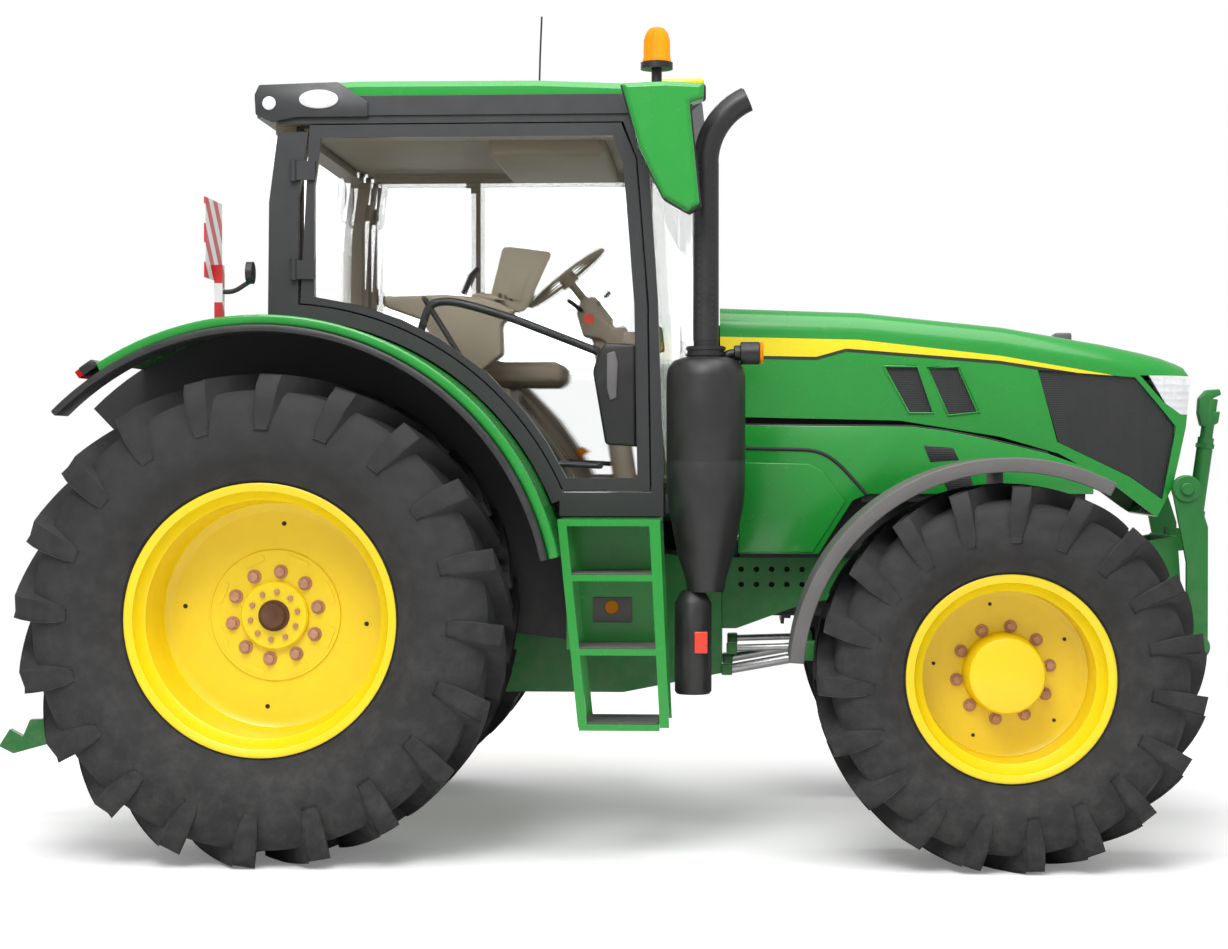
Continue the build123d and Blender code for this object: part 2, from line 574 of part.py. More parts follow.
def door(rear_x, top_rear_x, pane_rear_x, name, side, hinge_x):
    """A glazed door in its frame, as thick as the door, with its hinges and latch."""
    y_in = CAB_HALF_W - DOOR_THICK
    leaf = arched_outline(DOOR_ARC_R, rear_x, DOOR_FRONT + [(top_rear_x, 2796)],
                          y_in, CAB_HALF_W)
    arc = [(x, on_arc(PANE_ARC_R, x)) for x in PANE_ARC_X + (pane_rear_x,)]
    hole = PANE_FRONT + [(pane_rear_x + 26, 2748), (pane_rear_x, 2560)] + arc[::-1]
    leaf = leaf - prism(hole, y_in - 1, CAB_HALF_W + 1)
    leaf = leaf + block(1330, 1372, y_in - 40, y_in + 4, 1560, 2000)
    leaf = leaf + block(1372, 1386, y_in, y_in + 4, 1600, 1960)
    pane = prism(hole, CAB_HALF_W - 20, CAB_HALF_W - 14)
    hinge_y = CAB_HALF_W + 13 + CLEARANCE
    for z in (2240, 2620):
        barrel = rod((hinge_x, hinge_y, z - 40), (hinge_x, hinge_y, z + 40), 13)
        strap = block(hinge_x, rear_x + 60, CAB_HALF_W + 6, CAB_HALF_W + 16, z - 36, z + 36)
        foot = block(rear_x + 30, rear_x + 60, CAB_HALF_W - 4, CAB_HALF_W + 16, z - 36, z + 36)
        leaf = leaf + barrel + strap + foot
    if side > 0:
        leaf = leaf + block(BAR_X, BAR_X + BAR_W, y_in + 1, CAB_HALF_W - 20 - CLEARANCE,
                            1985, 2770)
    place = (lambda shape: shape) if side > 0 else mirrored
    save(f"door_{name}", place(leaf))
    save(f"door_glass_{name}", place(pane))


DOOR_HINGE_X = 62.0


def make_doors():
    """The two full-length doors, each hung on its rear post."""
    for name, side in (("right", -1), ("left", 1)):
        door(86, 124, 140, name, side, DOOR_HINGE_X)


ROOF_BASE_Z = 2830.0 + CLEARANCE


CAP_TOP = [(-60, 2945), (300, 2966), (1000, 2964), (1560, 2940)]


def roof_top(x):
    """The height of the roof cap's top at a given X, with the gap for what stands on it."""
    for (x0, z0), (x1, z1) in zip(CAP_TOP, CAP_TOP[1:]):
        if x0 <= x <= x1:
            return z0 + (z1 - z0) * (x - x0) / (x1 - x0) + CLEARANCE
    return CAP_TOP[-1][1]


def make_roof():
    """The dark roof base and the green cap on it."""
    half = CAB_HALF_W + 10
    base = prism([(-108, 2905), (-88, ROOF_BASE_Z), (1580, ROOF_BASE_Z), (1630, 2880),
                  (1600, 2905)], -half, half)
    plan = extrude(Pos(760, 0, 2700) * RectangleRounded(1740, 2 * half, 120), amount=400)
    save("roof_base", base & plan)
    cap = prism([(-108, 2905 + CLEARANCE)] + CAP_TOP + [(1600, 2905 + CLEARANCE)], -half, half)
    plan = extrude(Pos(750, 0, 2700) * RectangleRounded(1700, 2 * half - 30, 110), amount=400)
    cap = cap & plan
    rim_edges = [e for e in cap.edges() if e.center().Z > 2935 and abs(e.center().Y) > half - 40]
    save("roof_cap", chamfer(rim_edges, 24))


def make_interior():
    """Seat, console, steering column and armrest, as they show through the glass."""
    base = block(600, 900, -170, 170, CAB_FLOOR_Z + CLEARANCE, 1720)
    cushion = chamfer(block(560, 1060, -250, 250, 1720 + CLEARANCE, 1860).edges(), 22)
    back = chamfer(block(500, 650, -240, 240, 1860 + CLEARANCE, 2240).edges(), 22)
    save("seat_base", base)
    save("seat_pads", cushion, back)
    console = block(560, 1060, -560, -300, CAB_FLOOR_Z + CLEARANCE, 1960)
    arm = block(760, 1060, -420, -290, 1960, 2090)
    screen = block(800, 840, -440, -270, 2090, 2360)
    save("console", console + arm + screen)
    lean = radians(90 - WHEEL_RAKE)
    hub = Vector(*STEERING_HUB)
    along = Vector(sin(lean), 0, -cos(lean))
    head = rod(hub + along * (130 + CLEARANCE), hub + along * 260, 46)
    column = rod((1300, 0, CAB_FLOOR_Z + 60), hub + along * 230, 50)
    foot = block(1220, 1370, -70, 70, CAB_FLOOR_Z + CLEARANCE, CAB_FLOOR_Z + 90)
    save("steering_column", column + head + foot)


def make_steering_wheel():
    """The steering wheel with its spokes, on its raked shaft."""
    ring = Pos(0, 0, -13) * extrude(RegularPolygon(205, 20) - RegularPolygon(175, 20), amount=26)
    hub = Pos(0, 0, -30) * Cylinder(38, 60)
    spokes = Box(370, 26, 14) + Pos(-90, 0, 0) * Box(190, 26, 14)
    shaft = Pos(0, 0, -90) * Cylinder(18, 80)
    wheel = ring + hub + Box(26, 360, 14) + Pos(90, 0, 0) * Box(180, 30, 14) + shaft
    save("steering_wheel", Pos(*STEERING_HUB) * Rot(0, -90 + WHEEL_RAKE, 0) * wheel)


FENDER_INNER_Y = 582.0 + CLEARANCE
FENDER_STEP_Y = 1130.0


def make_rear_fenders():
    """The green fenders over the rear tyres and their black outer lips."""
    x, z = 0, REAR_AXLE_Z
    crown = arc_band(x, z, FENDER_R - SHEET, FENDER_R, 12, 122, FENDER_INNER_Y, FENDER_STEP_Y)
    save("rear_fenders", pair(crown))
    lip = arc_band(x, z, FENDER_EDGE_R, FENDER_R - SHEET - CLEARANCE, 12, 136,
                   FENDER_STEP_Y - 60, FENDER_OUTER_Y)
    save("fender_lips", pair(lip))


def make_front_fenders():
    """The front fenders, each on its knuckle by a bar up the tyre's inner side."""
    x, z = WHEELBASE, FRONT_AXLE_Z
    r_in = FRONT_TIP_R + 85
    band = arc_band(x, z, r_in, r_in + 15, 62, 176, 790, 1175)
    cap_low = z + 150 + RUNNING_GAP
    bar_y = FRONT_TRACK_Y - FRONT_TYRE_W / 2 - 46
    low = block(x - 32, x + 32, bar_y, KINGPIN_Y + 34, cap_low, cap_low + 22)
    up = block(x - 32, x + 32, bar_y, bar_y + 24, cap_low, z + r_in + 4)
    over = block(x - 32, x + 32, bar_y, 1100, z + r_in - 20, z + r_in + 4)
    fender = band + low + up + over
    fender = fender - rod((x, KINGPIN_Y, z), (x, KINGPIN_Y, cap_low + 40), 24 + CLEARANCE)
    save("front_fender_left", fender)
    save("front_fender_right", mirrored(fender))


def make_steps():
    """The steps up to each door, hung under the cab's floor, with the tank on the left."""
    rail = prism([(1100, 1289), (1132, 1289), (1212, 519), (1177, 519)], 0, 12)
    front = prism([(1440, 1289), (1480, 1289), (1515, 519), (1480, 519)], 0, 12)
    plate = prism([(1100, 1289), (1480, 1289), (1492, 1085), (1121, 1085)], 0, 10)
    steps = Pos(0, 800, 0) * rail + Pos(0, 800, 0) * front
    steps = steps + [Pos(0, 1120, 0) * rail, Pos(0, 1120, 0) * front]
    steps = steps + block(1110, 1470, 800, 810, 780, 1289)
    for level, x0 in ((1289, 1102), (1085, 1123), (810, 1151), (531, 1180)):
        steps = steps + block(x0, 1478, 800, 1132, level - 24, level)
    hanger = block(1122, 1470, 540, 830, 1262, 1289.7)
    save("steps", pair(steps + hanger))
    tank = chamfer(block(1160, 1630, 330, 770, 640, 1240).edges(), 36)
    for arm_x in (1220, 1520):
        tank = tank + block(arm_x, arm_x + 60, 260 + CLEARANCE, 340, 900, 980)
    save("fuel_tank", tank)


CAN_X = 1646.0
CAN_Y = -885.0
CAN_R = 150.0
STACK_R = 49.0
STACK_TOP_Z = 2640.0
STACK_BEND_R = 262.0
STACK_BEND_ANGLE = 66
STACK_SIDES = 16


def stack_bend(radius):
    """The stack's curved tip, bent forward about an axis along Y."""
    sections = []
    for angle in range(0, STACK_BEND_ANGLE + 1, 11):
        c, s = cos(radians(angle)), sin(radians(angle))
        spot = (CAN_X + STACK_BEND_R * (1 - c), CAN_Y, STACK_TOP_Z + STACK_BEND_R * s)
        plane = Plane(origin=spot, z_dir=(s, 0, c), x_dir=(c, 0, -s))
        sections.append(plane * RegularPolygon(radius, STACK_SIDES))
    return loft(sections, ruled=True)


def make_exhaust():
    """The canister beside the hood, its foot, and the stack with its curved open tip."""
    x, y = CAN_X, CAN_Y
    profile = [(1010, 70), (1060, 78), (1160, 110), (1330, CAN_R - 6), (1400, CAN_R),
               (1830, CAN_R), (1880, CAN_R - 22), (1900, 72), (1914, 72), (1920, 60), (1938, 60)]
    can = upright_stack(x, y, profile, STACK_SIDES)
    stack = upright_stack(x, y, [(1937, STACK_R), (STACK_TOP_Z, STACK_R)], STACK_SIDES)
    ahead = block(x + 118, x + 400, y - 90, y + 90, STACK_TOP_Z, STACK_TOP_Z + 500)
    tip = stack_bend(STACK_R) - stack_bend(STACK_R - 5) - ahead
    sill = block(1484 + CLEARANCE, 1560, -850, -800, 1300, 1380)
    lower = upright_stack(x - 48, y, [(622, 70), (985, 70)], STACK_SIDES)
    lower = lower + upright_stack(x - 30, y, [(984, 44), (1012, 44)], 12)
    save("exhaust", can + stack + sill + lower, tip)


MIRROR_OUTLINE = [(1336, 2905), (1496, 2911), (1641, 2902), (1641, 2848), (1589, 2830),
                  (1626, 2458), (1582, 2429), (1489, 2485), (1403, 2664)]
BEACON_X = 1455.0
BEACON_Y = -780.0


def make_mirrors_and_lamps():
    """Mirror arms and housings, roof beacon, aerials, marker lamps and warning boards."""
    side = CAB_HALF_W + 10 + CLEARANCE
    housing = prism(MIRROR_OUTLINE, 1010, 1120)
    housing = chamfer(housing.faces().sort_by(Axis.Y)[-1].edges(), 14)
    arm = block(1400, 1500, side, 1011, 2846, 2886)
    save("mirrors", pair(housing + arm))
    x, y = BEACON_X, BEACON_Y
    foot = roof_top(x - 30)
    save("beacon", rod((x, y, foot), (x, y, 3010), 20) + rod((x, y, 3009), (x, y, 3034), 62))
    dome = upright_stack(x, y, [(3034 + CLEARANCE, 54), (3120, 54), (3158, 42), (3176, 22)], 16)
    save("beacon_dome", dome)
    receiver = block(1440, 1625, -120, 120, 3020, 3082)
    receiver = receiver + block(1500, 1540, -40, 40, roof_top(1500), 3021)
    antenna = rod((930, 0, roof_top(900)), (944, 0, 3369), 5)
    save("roof_aerials", receiver, antenna)
    board = block(-196, -190, 970, 1240, 2183, 2480)
    pole = block(-190.5, -160, 1060, 1100, on_arc(FENDER_R, 160) + CLEARANCE, 2240)
    save("warning_boards", pair(board + pole))
    tail = arc_band(0, REAR_AXLE_Z, FENDER_R - SHEET, FENDER_R + 26, 123, 127, 1080, 1200)
    save("tail_lamps", pair(tail))
    marker = block(1782, 1862, CAN_Y - 40, CAN_Y + 40, 1872, 1958)
    bracket = block(CAN_X + CAN_R + CLEARANCE, 1830, CAN_Y - 12, CAN_Y + 12, 1780, 1873)
    far_arm = block(1440, 1862, 850 + CLEARANCE, 866, 1840, 1873)
    far_marker = block(1782, 1862, 850 + CLEARANCE, 930, 1872, 1958)
    save("marker_lamps", marker + bracket, far_arm + far_marker)


LINK_PIVOT = (-140.0, 560.0)      # the rear lower links' pins, (x, z)
LINK_PIN_R = 18.0
LINK_END = (-1030.0, 400.0)
LINK_Y = (292.0, 328.0)
LIFT_PIVOT = (-210.0, 1150.0)
LIFT_SHAFT_R = 45.0
LIFT_TIP = (-560.0, 1010.0)
LIFT_ROD_FOOT = (-600.0, 530.0)
TOP_LINK_PIN = (-400.0, 1010.0)
TOP_LINK_TIP = (-470.0, 1500.0)
PIN_R = 14.0


def make_rear_linkage():
    """Lower links with their hooks, lift arms, lift rods, top link and drawbar."""
    x, z = LINK_PIVOT
    ex, ez = LINK_END
    arm = prism([(x + 40, z - 40), (x + 40, z + 40), (ex, ez + 45), (ex, ez - 45)], *LINK_Y)
    hook = prism([(ex + 20, ez - 45), (-1210, 300), (-1270, 330), (-1225, 400),
                  (-1170, 370), (-1140, 440), (ex + 20, ez + 45)], *LINK_Y)
    pin = ring_y(x, z, LINK_PIN_R, 0, 262, 360)
    save("lower_links", pair(arm + hook + pin))
    px, pz = LIFT_PIVOT
    tx, tz = LIFT_TIP
    shaft = ring_y(px, pz, LIFT_SHAFT_R, 0, -362, 362)
    lift = prism([(px + 40, pz + 50), (tx - 30, tz + 30), (tx - 30, tz - 30),
                  (px + 20, pz - 55)], 334, 362)
    save("lift_arms", shaft + lift + mirrored(lift))
    fx, fz = LIFT_ROD_FOOT
    lift_rod = rod((tx, 390, tz), (fx, 390, fz), 24) + ring_y(tx, tz, 34, 0, 362.3, 414)
    save("lift_rods", pair(lift_rod))
    mx, mz = TOP_LINK_PIN
    top = rod((mx, 0, mz), (*TOP_LINK_TIP[:1], 0, TOP_LINK_TIP[1]), 26)
    top = top + ring_y(mx, mz, 40, 0, -25, 25) + ring_y(mx, mz, PIN_R, 0, -52, 52)
    save("top_link", top)
    drawbar = block(-700, 0, -45, 45, 430, 470)
    drawbar = drawbar - rod((-650, 0, 400), (-650, 0, 500), DRAWBAR_HOLE_R)
    hanger = block(-300, 0, -140, 140, 470, 600 - CLEARANCE)
    save("drawbar", drawbar + hanger)
    save("pto_stub", rod((-330 - CLEARANCE, 0, 760), (-420, 0, 760), PTO_R))
    ear = prism([(-340, 920), (-340, 1100), (-430, 1050), (-440, 980)], 32, 52)
    ear = ear - ring_y(mx, mz, PIN_R + CLEARANCE, 0, 20, 60)
    bracket = block(-345, -330 - CLEARANCE, -80, 80, 900, 1120)
    cover = block(-480, -330 - CLEARANCE, -120, 120, 850, 862)
    save("rear_brackets", bracket + pair(ear), cover)


FRONT_PIVOT = (3480.0, 690.0)
FRONT_PIVOT_R = 30.0
FRONT_LINK_Y = 370.0
FOLD_PIN = (3596.0, 760.0)
FRONT_TOP_PIN = (3640.0, 1180.0)


def make_front_linkage():
    """The front carrier, lift rocker, its folded-up lower links and the top link."""
    plate = prism([(FRAME_FRONT_X + CLEARANCE, 640), (3540, 620), (3560, 900), (3540, 1200),
                   (FRAME_FRONT_X + CLEARANCE, 1160)], 180, FRAME_HALF_W)
    x, z = FRONT_PIVOT
    carrier = plate + mirrored(plate) + block(FRAME_FRONT_X + CLEARANCE, 3380, -181, 181, 900, 1150)
    carrier = carrier + block(3500, 3545, -181, 181, 1120, 1200)
    mx, mz = FRONT_TOP_PIN
    ear = prism([(3530, 1130), (3530, 1230), (mx + 10, mz + 40), (mx + 40, mz), (mx + 10, mz - 40)],
                32, 50)
    carrier = carrier + pair(ear)
    carrier = carrier - ring_y(mx, mz, PIN_R + CLEARANCE, 0, -60, 60)
    carrier = carrier - ring_y(x, z, FRONT_PIVOT_R + CLEARANCE, 0, -260, 260)
    save("front_carrier", carrier)
    rocker = ring_y(x, z, FRONT_PIVOT_R, 0, -FRONT_LINK_Y, FRONT_LINK_Y)
    fx, fz = FOLD_PIN
    for y0, y1 in ((290, 310), (FRONT_LINK_Y - 20, FRONT_LINK_Y)):
        web = prism([(x - 20, z - 45), (x - 20, z + 45), (fx - 20, fz + 42), (fx + 42, fz),
                     (fx + 20, fz - 42)], y0, y1)
        rocker = rocker + pair(web)
    rocker = rocker - ring_y(fx, fz, LINK_PIN_R + CLEARANCE, 0, -400, 400)
    save("front_rocker", rocker)
    link = prism([(fx - 42, fz - 20), (fx - 42, 1100), (3500, 1380), (3560, 1420), (3600, 1360),
                  (fx + 42, 1240), (fx + 42, fz - 20)], 316, 344)
    link = link + ring_y(fx, fz, LINK_PIN_R, 0, 290, FRONT_LINK_Y)
    save("front_links", pair(link))
    top = rod((mx, 0, mz), (3720, 0, 1760), 26) + ring_y(mx, mz, 38, 0, -26, 26)
    top = top + ring_y(mx, mz, PIN_R, 0, -50, 50)
    save("front_top_link", top)


make_wheels()
make_front_axle()
make_knuckles()
make_frame()
make_engine()
make_transmission()
make_hood()
make_side_panels()
make_cowl()
make_cab()
make_windows()
make_doors()
make_roof()
make_interior()
make_steering_wheel()
make_rear_fenders()
make_front_fenders()
make_steps()
make_exhaust()
make_mirrors_and_lamps()
make_rear_linkage()
make_front_linkage()
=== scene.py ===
# %% [markdown]
# # A farm tractor, dressed round its CAD frame
#
# The CAD model gives every part's place and size. This lesson adds what it leaves
# plain: rounded edges, tread, nuts, cushions, lamps and the finish of each surface.
# Distances are in metres, +X is forward, +Y is the tractor's left and the ground is Z = 0.

# %% Load the frame
import json
from math import cos, pi, radians, sin, sqrt

import bmesh
import bpy
from mathutils import Matrix, Vector
from mathutils.bvhtree import BVHTree


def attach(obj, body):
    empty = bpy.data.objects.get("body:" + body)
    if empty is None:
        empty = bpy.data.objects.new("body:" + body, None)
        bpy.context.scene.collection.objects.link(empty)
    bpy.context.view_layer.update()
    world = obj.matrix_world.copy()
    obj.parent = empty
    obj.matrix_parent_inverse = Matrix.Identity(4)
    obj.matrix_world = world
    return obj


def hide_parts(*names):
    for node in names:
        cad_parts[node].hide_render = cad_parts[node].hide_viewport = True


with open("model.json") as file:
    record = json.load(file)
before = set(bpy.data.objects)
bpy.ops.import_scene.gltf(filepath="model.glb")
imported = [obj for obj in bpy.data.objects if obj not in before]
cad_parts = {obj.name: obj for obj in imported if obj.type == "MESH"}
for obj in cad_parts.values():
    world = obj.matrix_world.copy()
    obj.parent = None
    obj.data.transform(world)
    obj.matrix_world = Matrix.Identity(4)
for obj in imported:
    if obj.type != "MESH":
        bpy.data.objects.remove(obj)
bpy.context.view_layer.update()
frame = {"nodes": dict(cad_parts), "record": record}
nodes = frame["nodes"]

# %% [markdown]
# ## Where things are
#
# The CAD was drawn from the rear axle and then moved so that the middle of the whole
# tractor is the origin. `REAR_AXLE_X` is that move, so a place measured from the
# rear axle becomes a place in the scene.

# %% Shared places
SHIFT = -1.238
WHEELBASE = 2.765
REAR_AXLE = Vector((SHIFT, 0, 0.915))
FRONT_AXLE = Vector((SHIFT + WHEELBASE, 0, 0.709))
REAR_TRACK = 0.930
FRONT_TRACK = 0.936


def place(x, y, z):
    """A point measured in millimetres from the rear axle, as a point of the scene."""
    return Vector((x / 1000 + SHIFT, y / 1000, z / 1000))


# %% [markdown]
# ## Camera
#
# The photograph was taken from the tractor's right, from chest height and from far
# away. The wheels' ellipses and the two axles' heights settle the lens and the angle.
# A 36 mm sensor with this lens gives the same perspective.

# %% Camera
CAMERA_YAW = radians(3.2)
CAMERA_PITCH = radians(0.49)
FOCAL_PIXELS = 2280
PHOTO_WIDTH = 1228

camera = bpy.data.objects.new("camera", bpy.data.cameras.new("camera"))
bpy.context.scene.collection.objects.link(camera)
camera.location = place(1781, -9546, 1528)
camera.rotation_euler = (pi / 2 - CAMERA_PITCH, 0, CAMERA_YAW)
camera.data.sensor_width = 36
camera.data.lens = FOCAL_PIXELS * camera.data.sensor_width / PHOTO_WIDTH
camera.data.clip_end = 200
bpy.context.scene.camera = camera
bpy.context.scene.view_settings.view_transform = "Standard"
print("lens", round(camera.data.lens, 2), "mm")

# %% [markdown]
# ## Light and floor
#
# A studio photograph on white has a big soft source above and in front, a weaker one
# opposite, and a floor that fades into the background. The world lights everything
# evenly, and two area lamps add form. The world shows white to the camera and to glass,
# but lights the object at a plain level.

# %% World


def link(tree, source, target):
    """Join an output socket to an input socket."""
    tree.links.new(source, target)


def add(tree, kind, **settings):
    """Add a node and set its properties."""
    node = tree.nodes.new(kind)
    for name, value in settings.items():
        setattr(node, name, value)
    return node


WORLD_LEVEL = 0.62
world = bpy.data.worlds.new("studio")
bpy.context.scene.world = world
world.use_nodes = True
tree = world.node_tree
tree.nodes.clear()
seen = add(tree, "ShaderNodeLightPath")
lit = add(tree, "ShaderNodeBackground")
lit.inputs["Color"].default_value = (1, 1, 1, 1)
lit.inputs["Strength"].default_value = WORLD_LEVEL
shown = add(tree, "ShaderNodeBackground")
shown.inputs["Color"].default_value = (1, 1, 1, 1)
shown.inputs["Strength"].default_value = 1.0
pick = add(tree, "ShaderNodeMixShader")
clear = add(tree, "ShaderNodeMath", operation="MAXIMUM")
link(tree, seen.outputs["Is Camera Ray"], clear.inputs[0])
link(tree, seen.outputs["Is Transmission Ray"], clear.inputs[1])
link(tree, clear.outputs[0], pick.inputs["Fac"])
link(tree, lit.outputs[0], pick.inputs[1])
link(tree, shown.outputs[0], pick.inputs[2])
link(tree, pick.outputs[0], add(tree, "ShaderNodeOutputWorld").inputs["Surface"])


# %% Lamps
def soft_lamp(name, at, aim, size, power):
    """A large square area lamp at one point, turned to another."""
    lamp = bpy.data.lights.new(name, "AREA")
    lamp.shape = "SQUARE"
    lamp.size = size
    lamp.energy = power
    obj = bpy.data.objects.new(name, lamp)
    bpy.context.scene.collection.objects.link(obj)
    obj.location = at
    obj.rotation_euler = (Vector(aim) - Vector(at)).to_track_quat("-Z", "Y").to_euler()
    return obj


soft_lamp("overhead", (0.5, -2.5, 7.5), (0, 0, 1), 7.0, 480)
soft_lamp("near_side", (-1.5, -8.0, 8.0), (0, 0, 1.0), 4.0, 420)
soft_lamp("far_side", (-3.0, 8.0, 5.0), (0, 0, 1.2), 6.0, 220)

# %% Floor
FLOOR_HALF = 60.0
FADE_FROM = 3.2
FADE_TO = 6.5

bm = bmesh.new()
bmesh.ops.create_grid(bm, x_segments=2, y_segments=2, size=FLOOR_HALF)
floor_mesh = bpy.data.meshes.new("floor")
bm.to_mesh(floor_mesh)
bm.free()
floor = bpy.data.objects.new("floor", floor_mesh)
bpy.context.scene.collection.objects.link(floor)

paper = bpy.data.materials.new("studio_floor")
paper.use_nodes = True
tree = paper.node_tree
tree.nodes.clear()
place_on = add(tree, "ShaderNodeTexCoord")
length = add(tree, "ShaderNodeVectorMath", operation="LENGTH")
fade = add(tree, "ShaderNodeMapRange")
fade.inputs["From Min"].default_value = FADE_FROM
fade.inputs["From Max"].default_value = FADE_TO
matt = add(tree, "ShaderNodeBsdfDiffuse")
matt.inputs["Color"].default_value = (0.97, 0.97, 0.97, 1)
glow = add(tree, "ShaderNodeEmission")
glow.inputs["Color"].default_value = (1, 1, 1, 1)
lift = add(tree, "ShaderNodeEmission")
lift.inputs["Strength"].default_value = 0.16
matt_lift = add(tree, "ShaderNodeAddShader")
blend_out = add(tree, "ShaderNodeMixShader")
eye = add(tree, "ShaderNodeLightPath")
plain = add(tree, "ShaderNodeBsdfDiffuse")
plain.inputs["Color"].default_value = (0.8, 0.8, 0.8, 1)
ray_pick = add(tree, "ShaderNodeMixShader")
link(tree, place_on.outputs["Object"], length.inputs[0])
link(tree, length.outputs["Value"], fade.inputs["Value"])
link(tree, fade.outputs["Result"], blend_out.inputs["Fac"])
link(tree, matt.outputs[0], matt_lift.inputs[0])
link(tree, lift.outputs[0], matt_lift.inputs[1])
link(tree, matt_lift.outputs[0], blend_out.inputs[1])
link(tree, glow.outputs[0], blend_out.inputs[2])
link(tree, eye.outputs["Is Camera Ray"], ray_pick.inputs["Fac"])
link(tree, plain.outputs[0], ray_pick.inputs[1])
link(tree, blend_out.outputs[0], ray_pick.inputs[2])
link(tree, ray_pick.outputs[0], add(tree, "ShaderNodeOutputMaterial").inputs["Surface"])
floor.data.materials.append(paper)
print("floor", FLOOR_HALF * 2, "m across")

# %% [markdown]
# ## Shared effects
#
# Real paint and rubber are never one even colour: they carry dust that settles low,
# small changes of tone, and a fine surface grain. Each effect is made once, as a node
# group with named sockets, and every material places it with its own values.

# %% Effect groups


def effect(name, inputs, outputs):
    """An empty shader node group with named sockets; returns its tree and end nodes."""
    group = bpy.data.node_groups.new(name, "ShaderNodeTree")
    for label, kind, value in inputs:
        socket = group.interface.new_socket(label, in_out="INPUT", socket_type=kind)
        socket.default_value = value
    for label, kind in outputs:
        group.interface.new_socket(label, in_out="OUTPUT", socket_type=kind)
    return group, add(group, "NodeGroupInput"), add(group, "NodeGroupOutput")


FLOAT = "NodeSocketFloat"
COLOUR = "NodeSocketColor"

tone, tone_in, tone_out = effect(
    "tone_and_dust",
    [("Base", COLOUR, (0.5, 0.5, 0.5, 1)), ("Dust", COLOUR, (0.35, 0.32, 0.27, 1)),
     ("Tone Change", FLOAT, 0.1), ("Tone Scale", FLOAT, 2.0), ("Dust Amount", FLOAT, 0.1),
     ("Dust Top", FLOAT, 1.2), ("Rough Low", FLOAT, 0.3), ("Rough High", FLOAT, 0.45)],
    [("Colour", COLOUR), ("Roughness", FLOAT)])
where = add(tone, "ShaderNodeTexCoord")
clouds = add(tone, "ShaderNodeTexNoise")
clouds.inputs["Detail"].default_value = 6
clouds.inputs["Roughness"].default_value = 0.62
link(tone, where.outputs["Object"], clouds.inputs["Vector"])
link(tone, tone_in.outputs["Tone Scale"], clouds.inputs["Scale"])
shade = add(tone, "ShaderNodeMapRange")
shade.inputs["From Min"].default_value = 0.3
shade.inputs["From Max"].default_value = 0.7
darkest = add(tone, "ShaderNodeMath", operation="SUBTRACT")
darkest.inputs[0].default_value = 1.0
link(tone, tone_in.outputs["Tone Change"], darkest.inputs[1])
link(tone, darkest.outputs[0], shade.inputs["To Min"])
shade.inputs["To Max"].default_value = 1.0
link(tone, clouds.outputs["Fac"], shade.inputs["Value"])
toned = add(tone, "ShaderNodeVectorMath", operation="SCALE")
link(tone, tone_in.outputs["Base"], toned.inputs[0])
link(tone, shade.outputs["Result"], toned.inputs["Scale"])
specks = add(tone, "ShaderNodeTexNoise")
specks.inputs["Scale"].default_value = 14
specks.inputs["Detail"].default_value = 8
specks.inputs["Roughness"].default_value = 0.7
link(tone, where.outputs["Object"], specks.inputs["Vector"])
parts = add(tone, "ShaderNodeSeparateXYZ")
link(tone, where.outputs["Object"], parts.inputs[0])
low_down = add(tone, "ShaderNodeMapRange")
low_down.inputs["From Min"].default_value = 0.0
link(tone, tone_in.outputs["Dust Top"], low_down.inputs["From Max"])
low_down.inputs["To Min"].default_value = 1.0
low_down.inputs["To Max"].default_value = 0.12
link(tone, parts.outputs["Z"], low_down.inputs["Value"])
patch = add(tone, "ShaderNodeMapRange")
patch.inputs["From Min"].default_value = 0.42
patch.inputs["From Max"].default_value = 0.68
link(tone, specks.outputs["Fac"], patch.inputs["Value"])
dusty = add(tone, "ShaderNodeMath", operation="MULTIPLY")
link(tone, low_down.outputs["Result"], dusty.inputs[0])
link(tone, patch.outputs["Result"], dusty.inputs[1])
amount = add(tone, "ShaderNodeMath", operation="MULTIPLY")
link(tone, dusty.outputs[0], amount.inputs[0])
link(tone, tone_in.outputs["Dust Amount"], amount.inputs[1])
mixed = add(tone, "ShaderNodeMix", data_type="RGBA")
link(tone, amount.outputs[0], mixed.inputs["Factor"])
link(tone, toned.outputs[0], mixed.inputs["A"])
link(tone, tone_in.outputs["Dust"], mixed.inputs["B"])
link(tone, mixed.outputs["Result"], tone_out.inputs["Colour"])
rough = add(tone, "ShaderNodeMapRange")
link(tone, specks.outputs["Fac"], rough.inputs["Value"])
rough.inputs["From Min"].default_value = 0.3
rough.inputs["From Max"].default_value = 0.7
link(tone, tone_in.outputs["Rough Low"], rough.inputs["To Min"])
link(tone, tone_in.outputs["Rough High"], rough.inputs["To Max"])
link(tone, rough.outputs["Result"], tone_out.inputs["Roughness"])

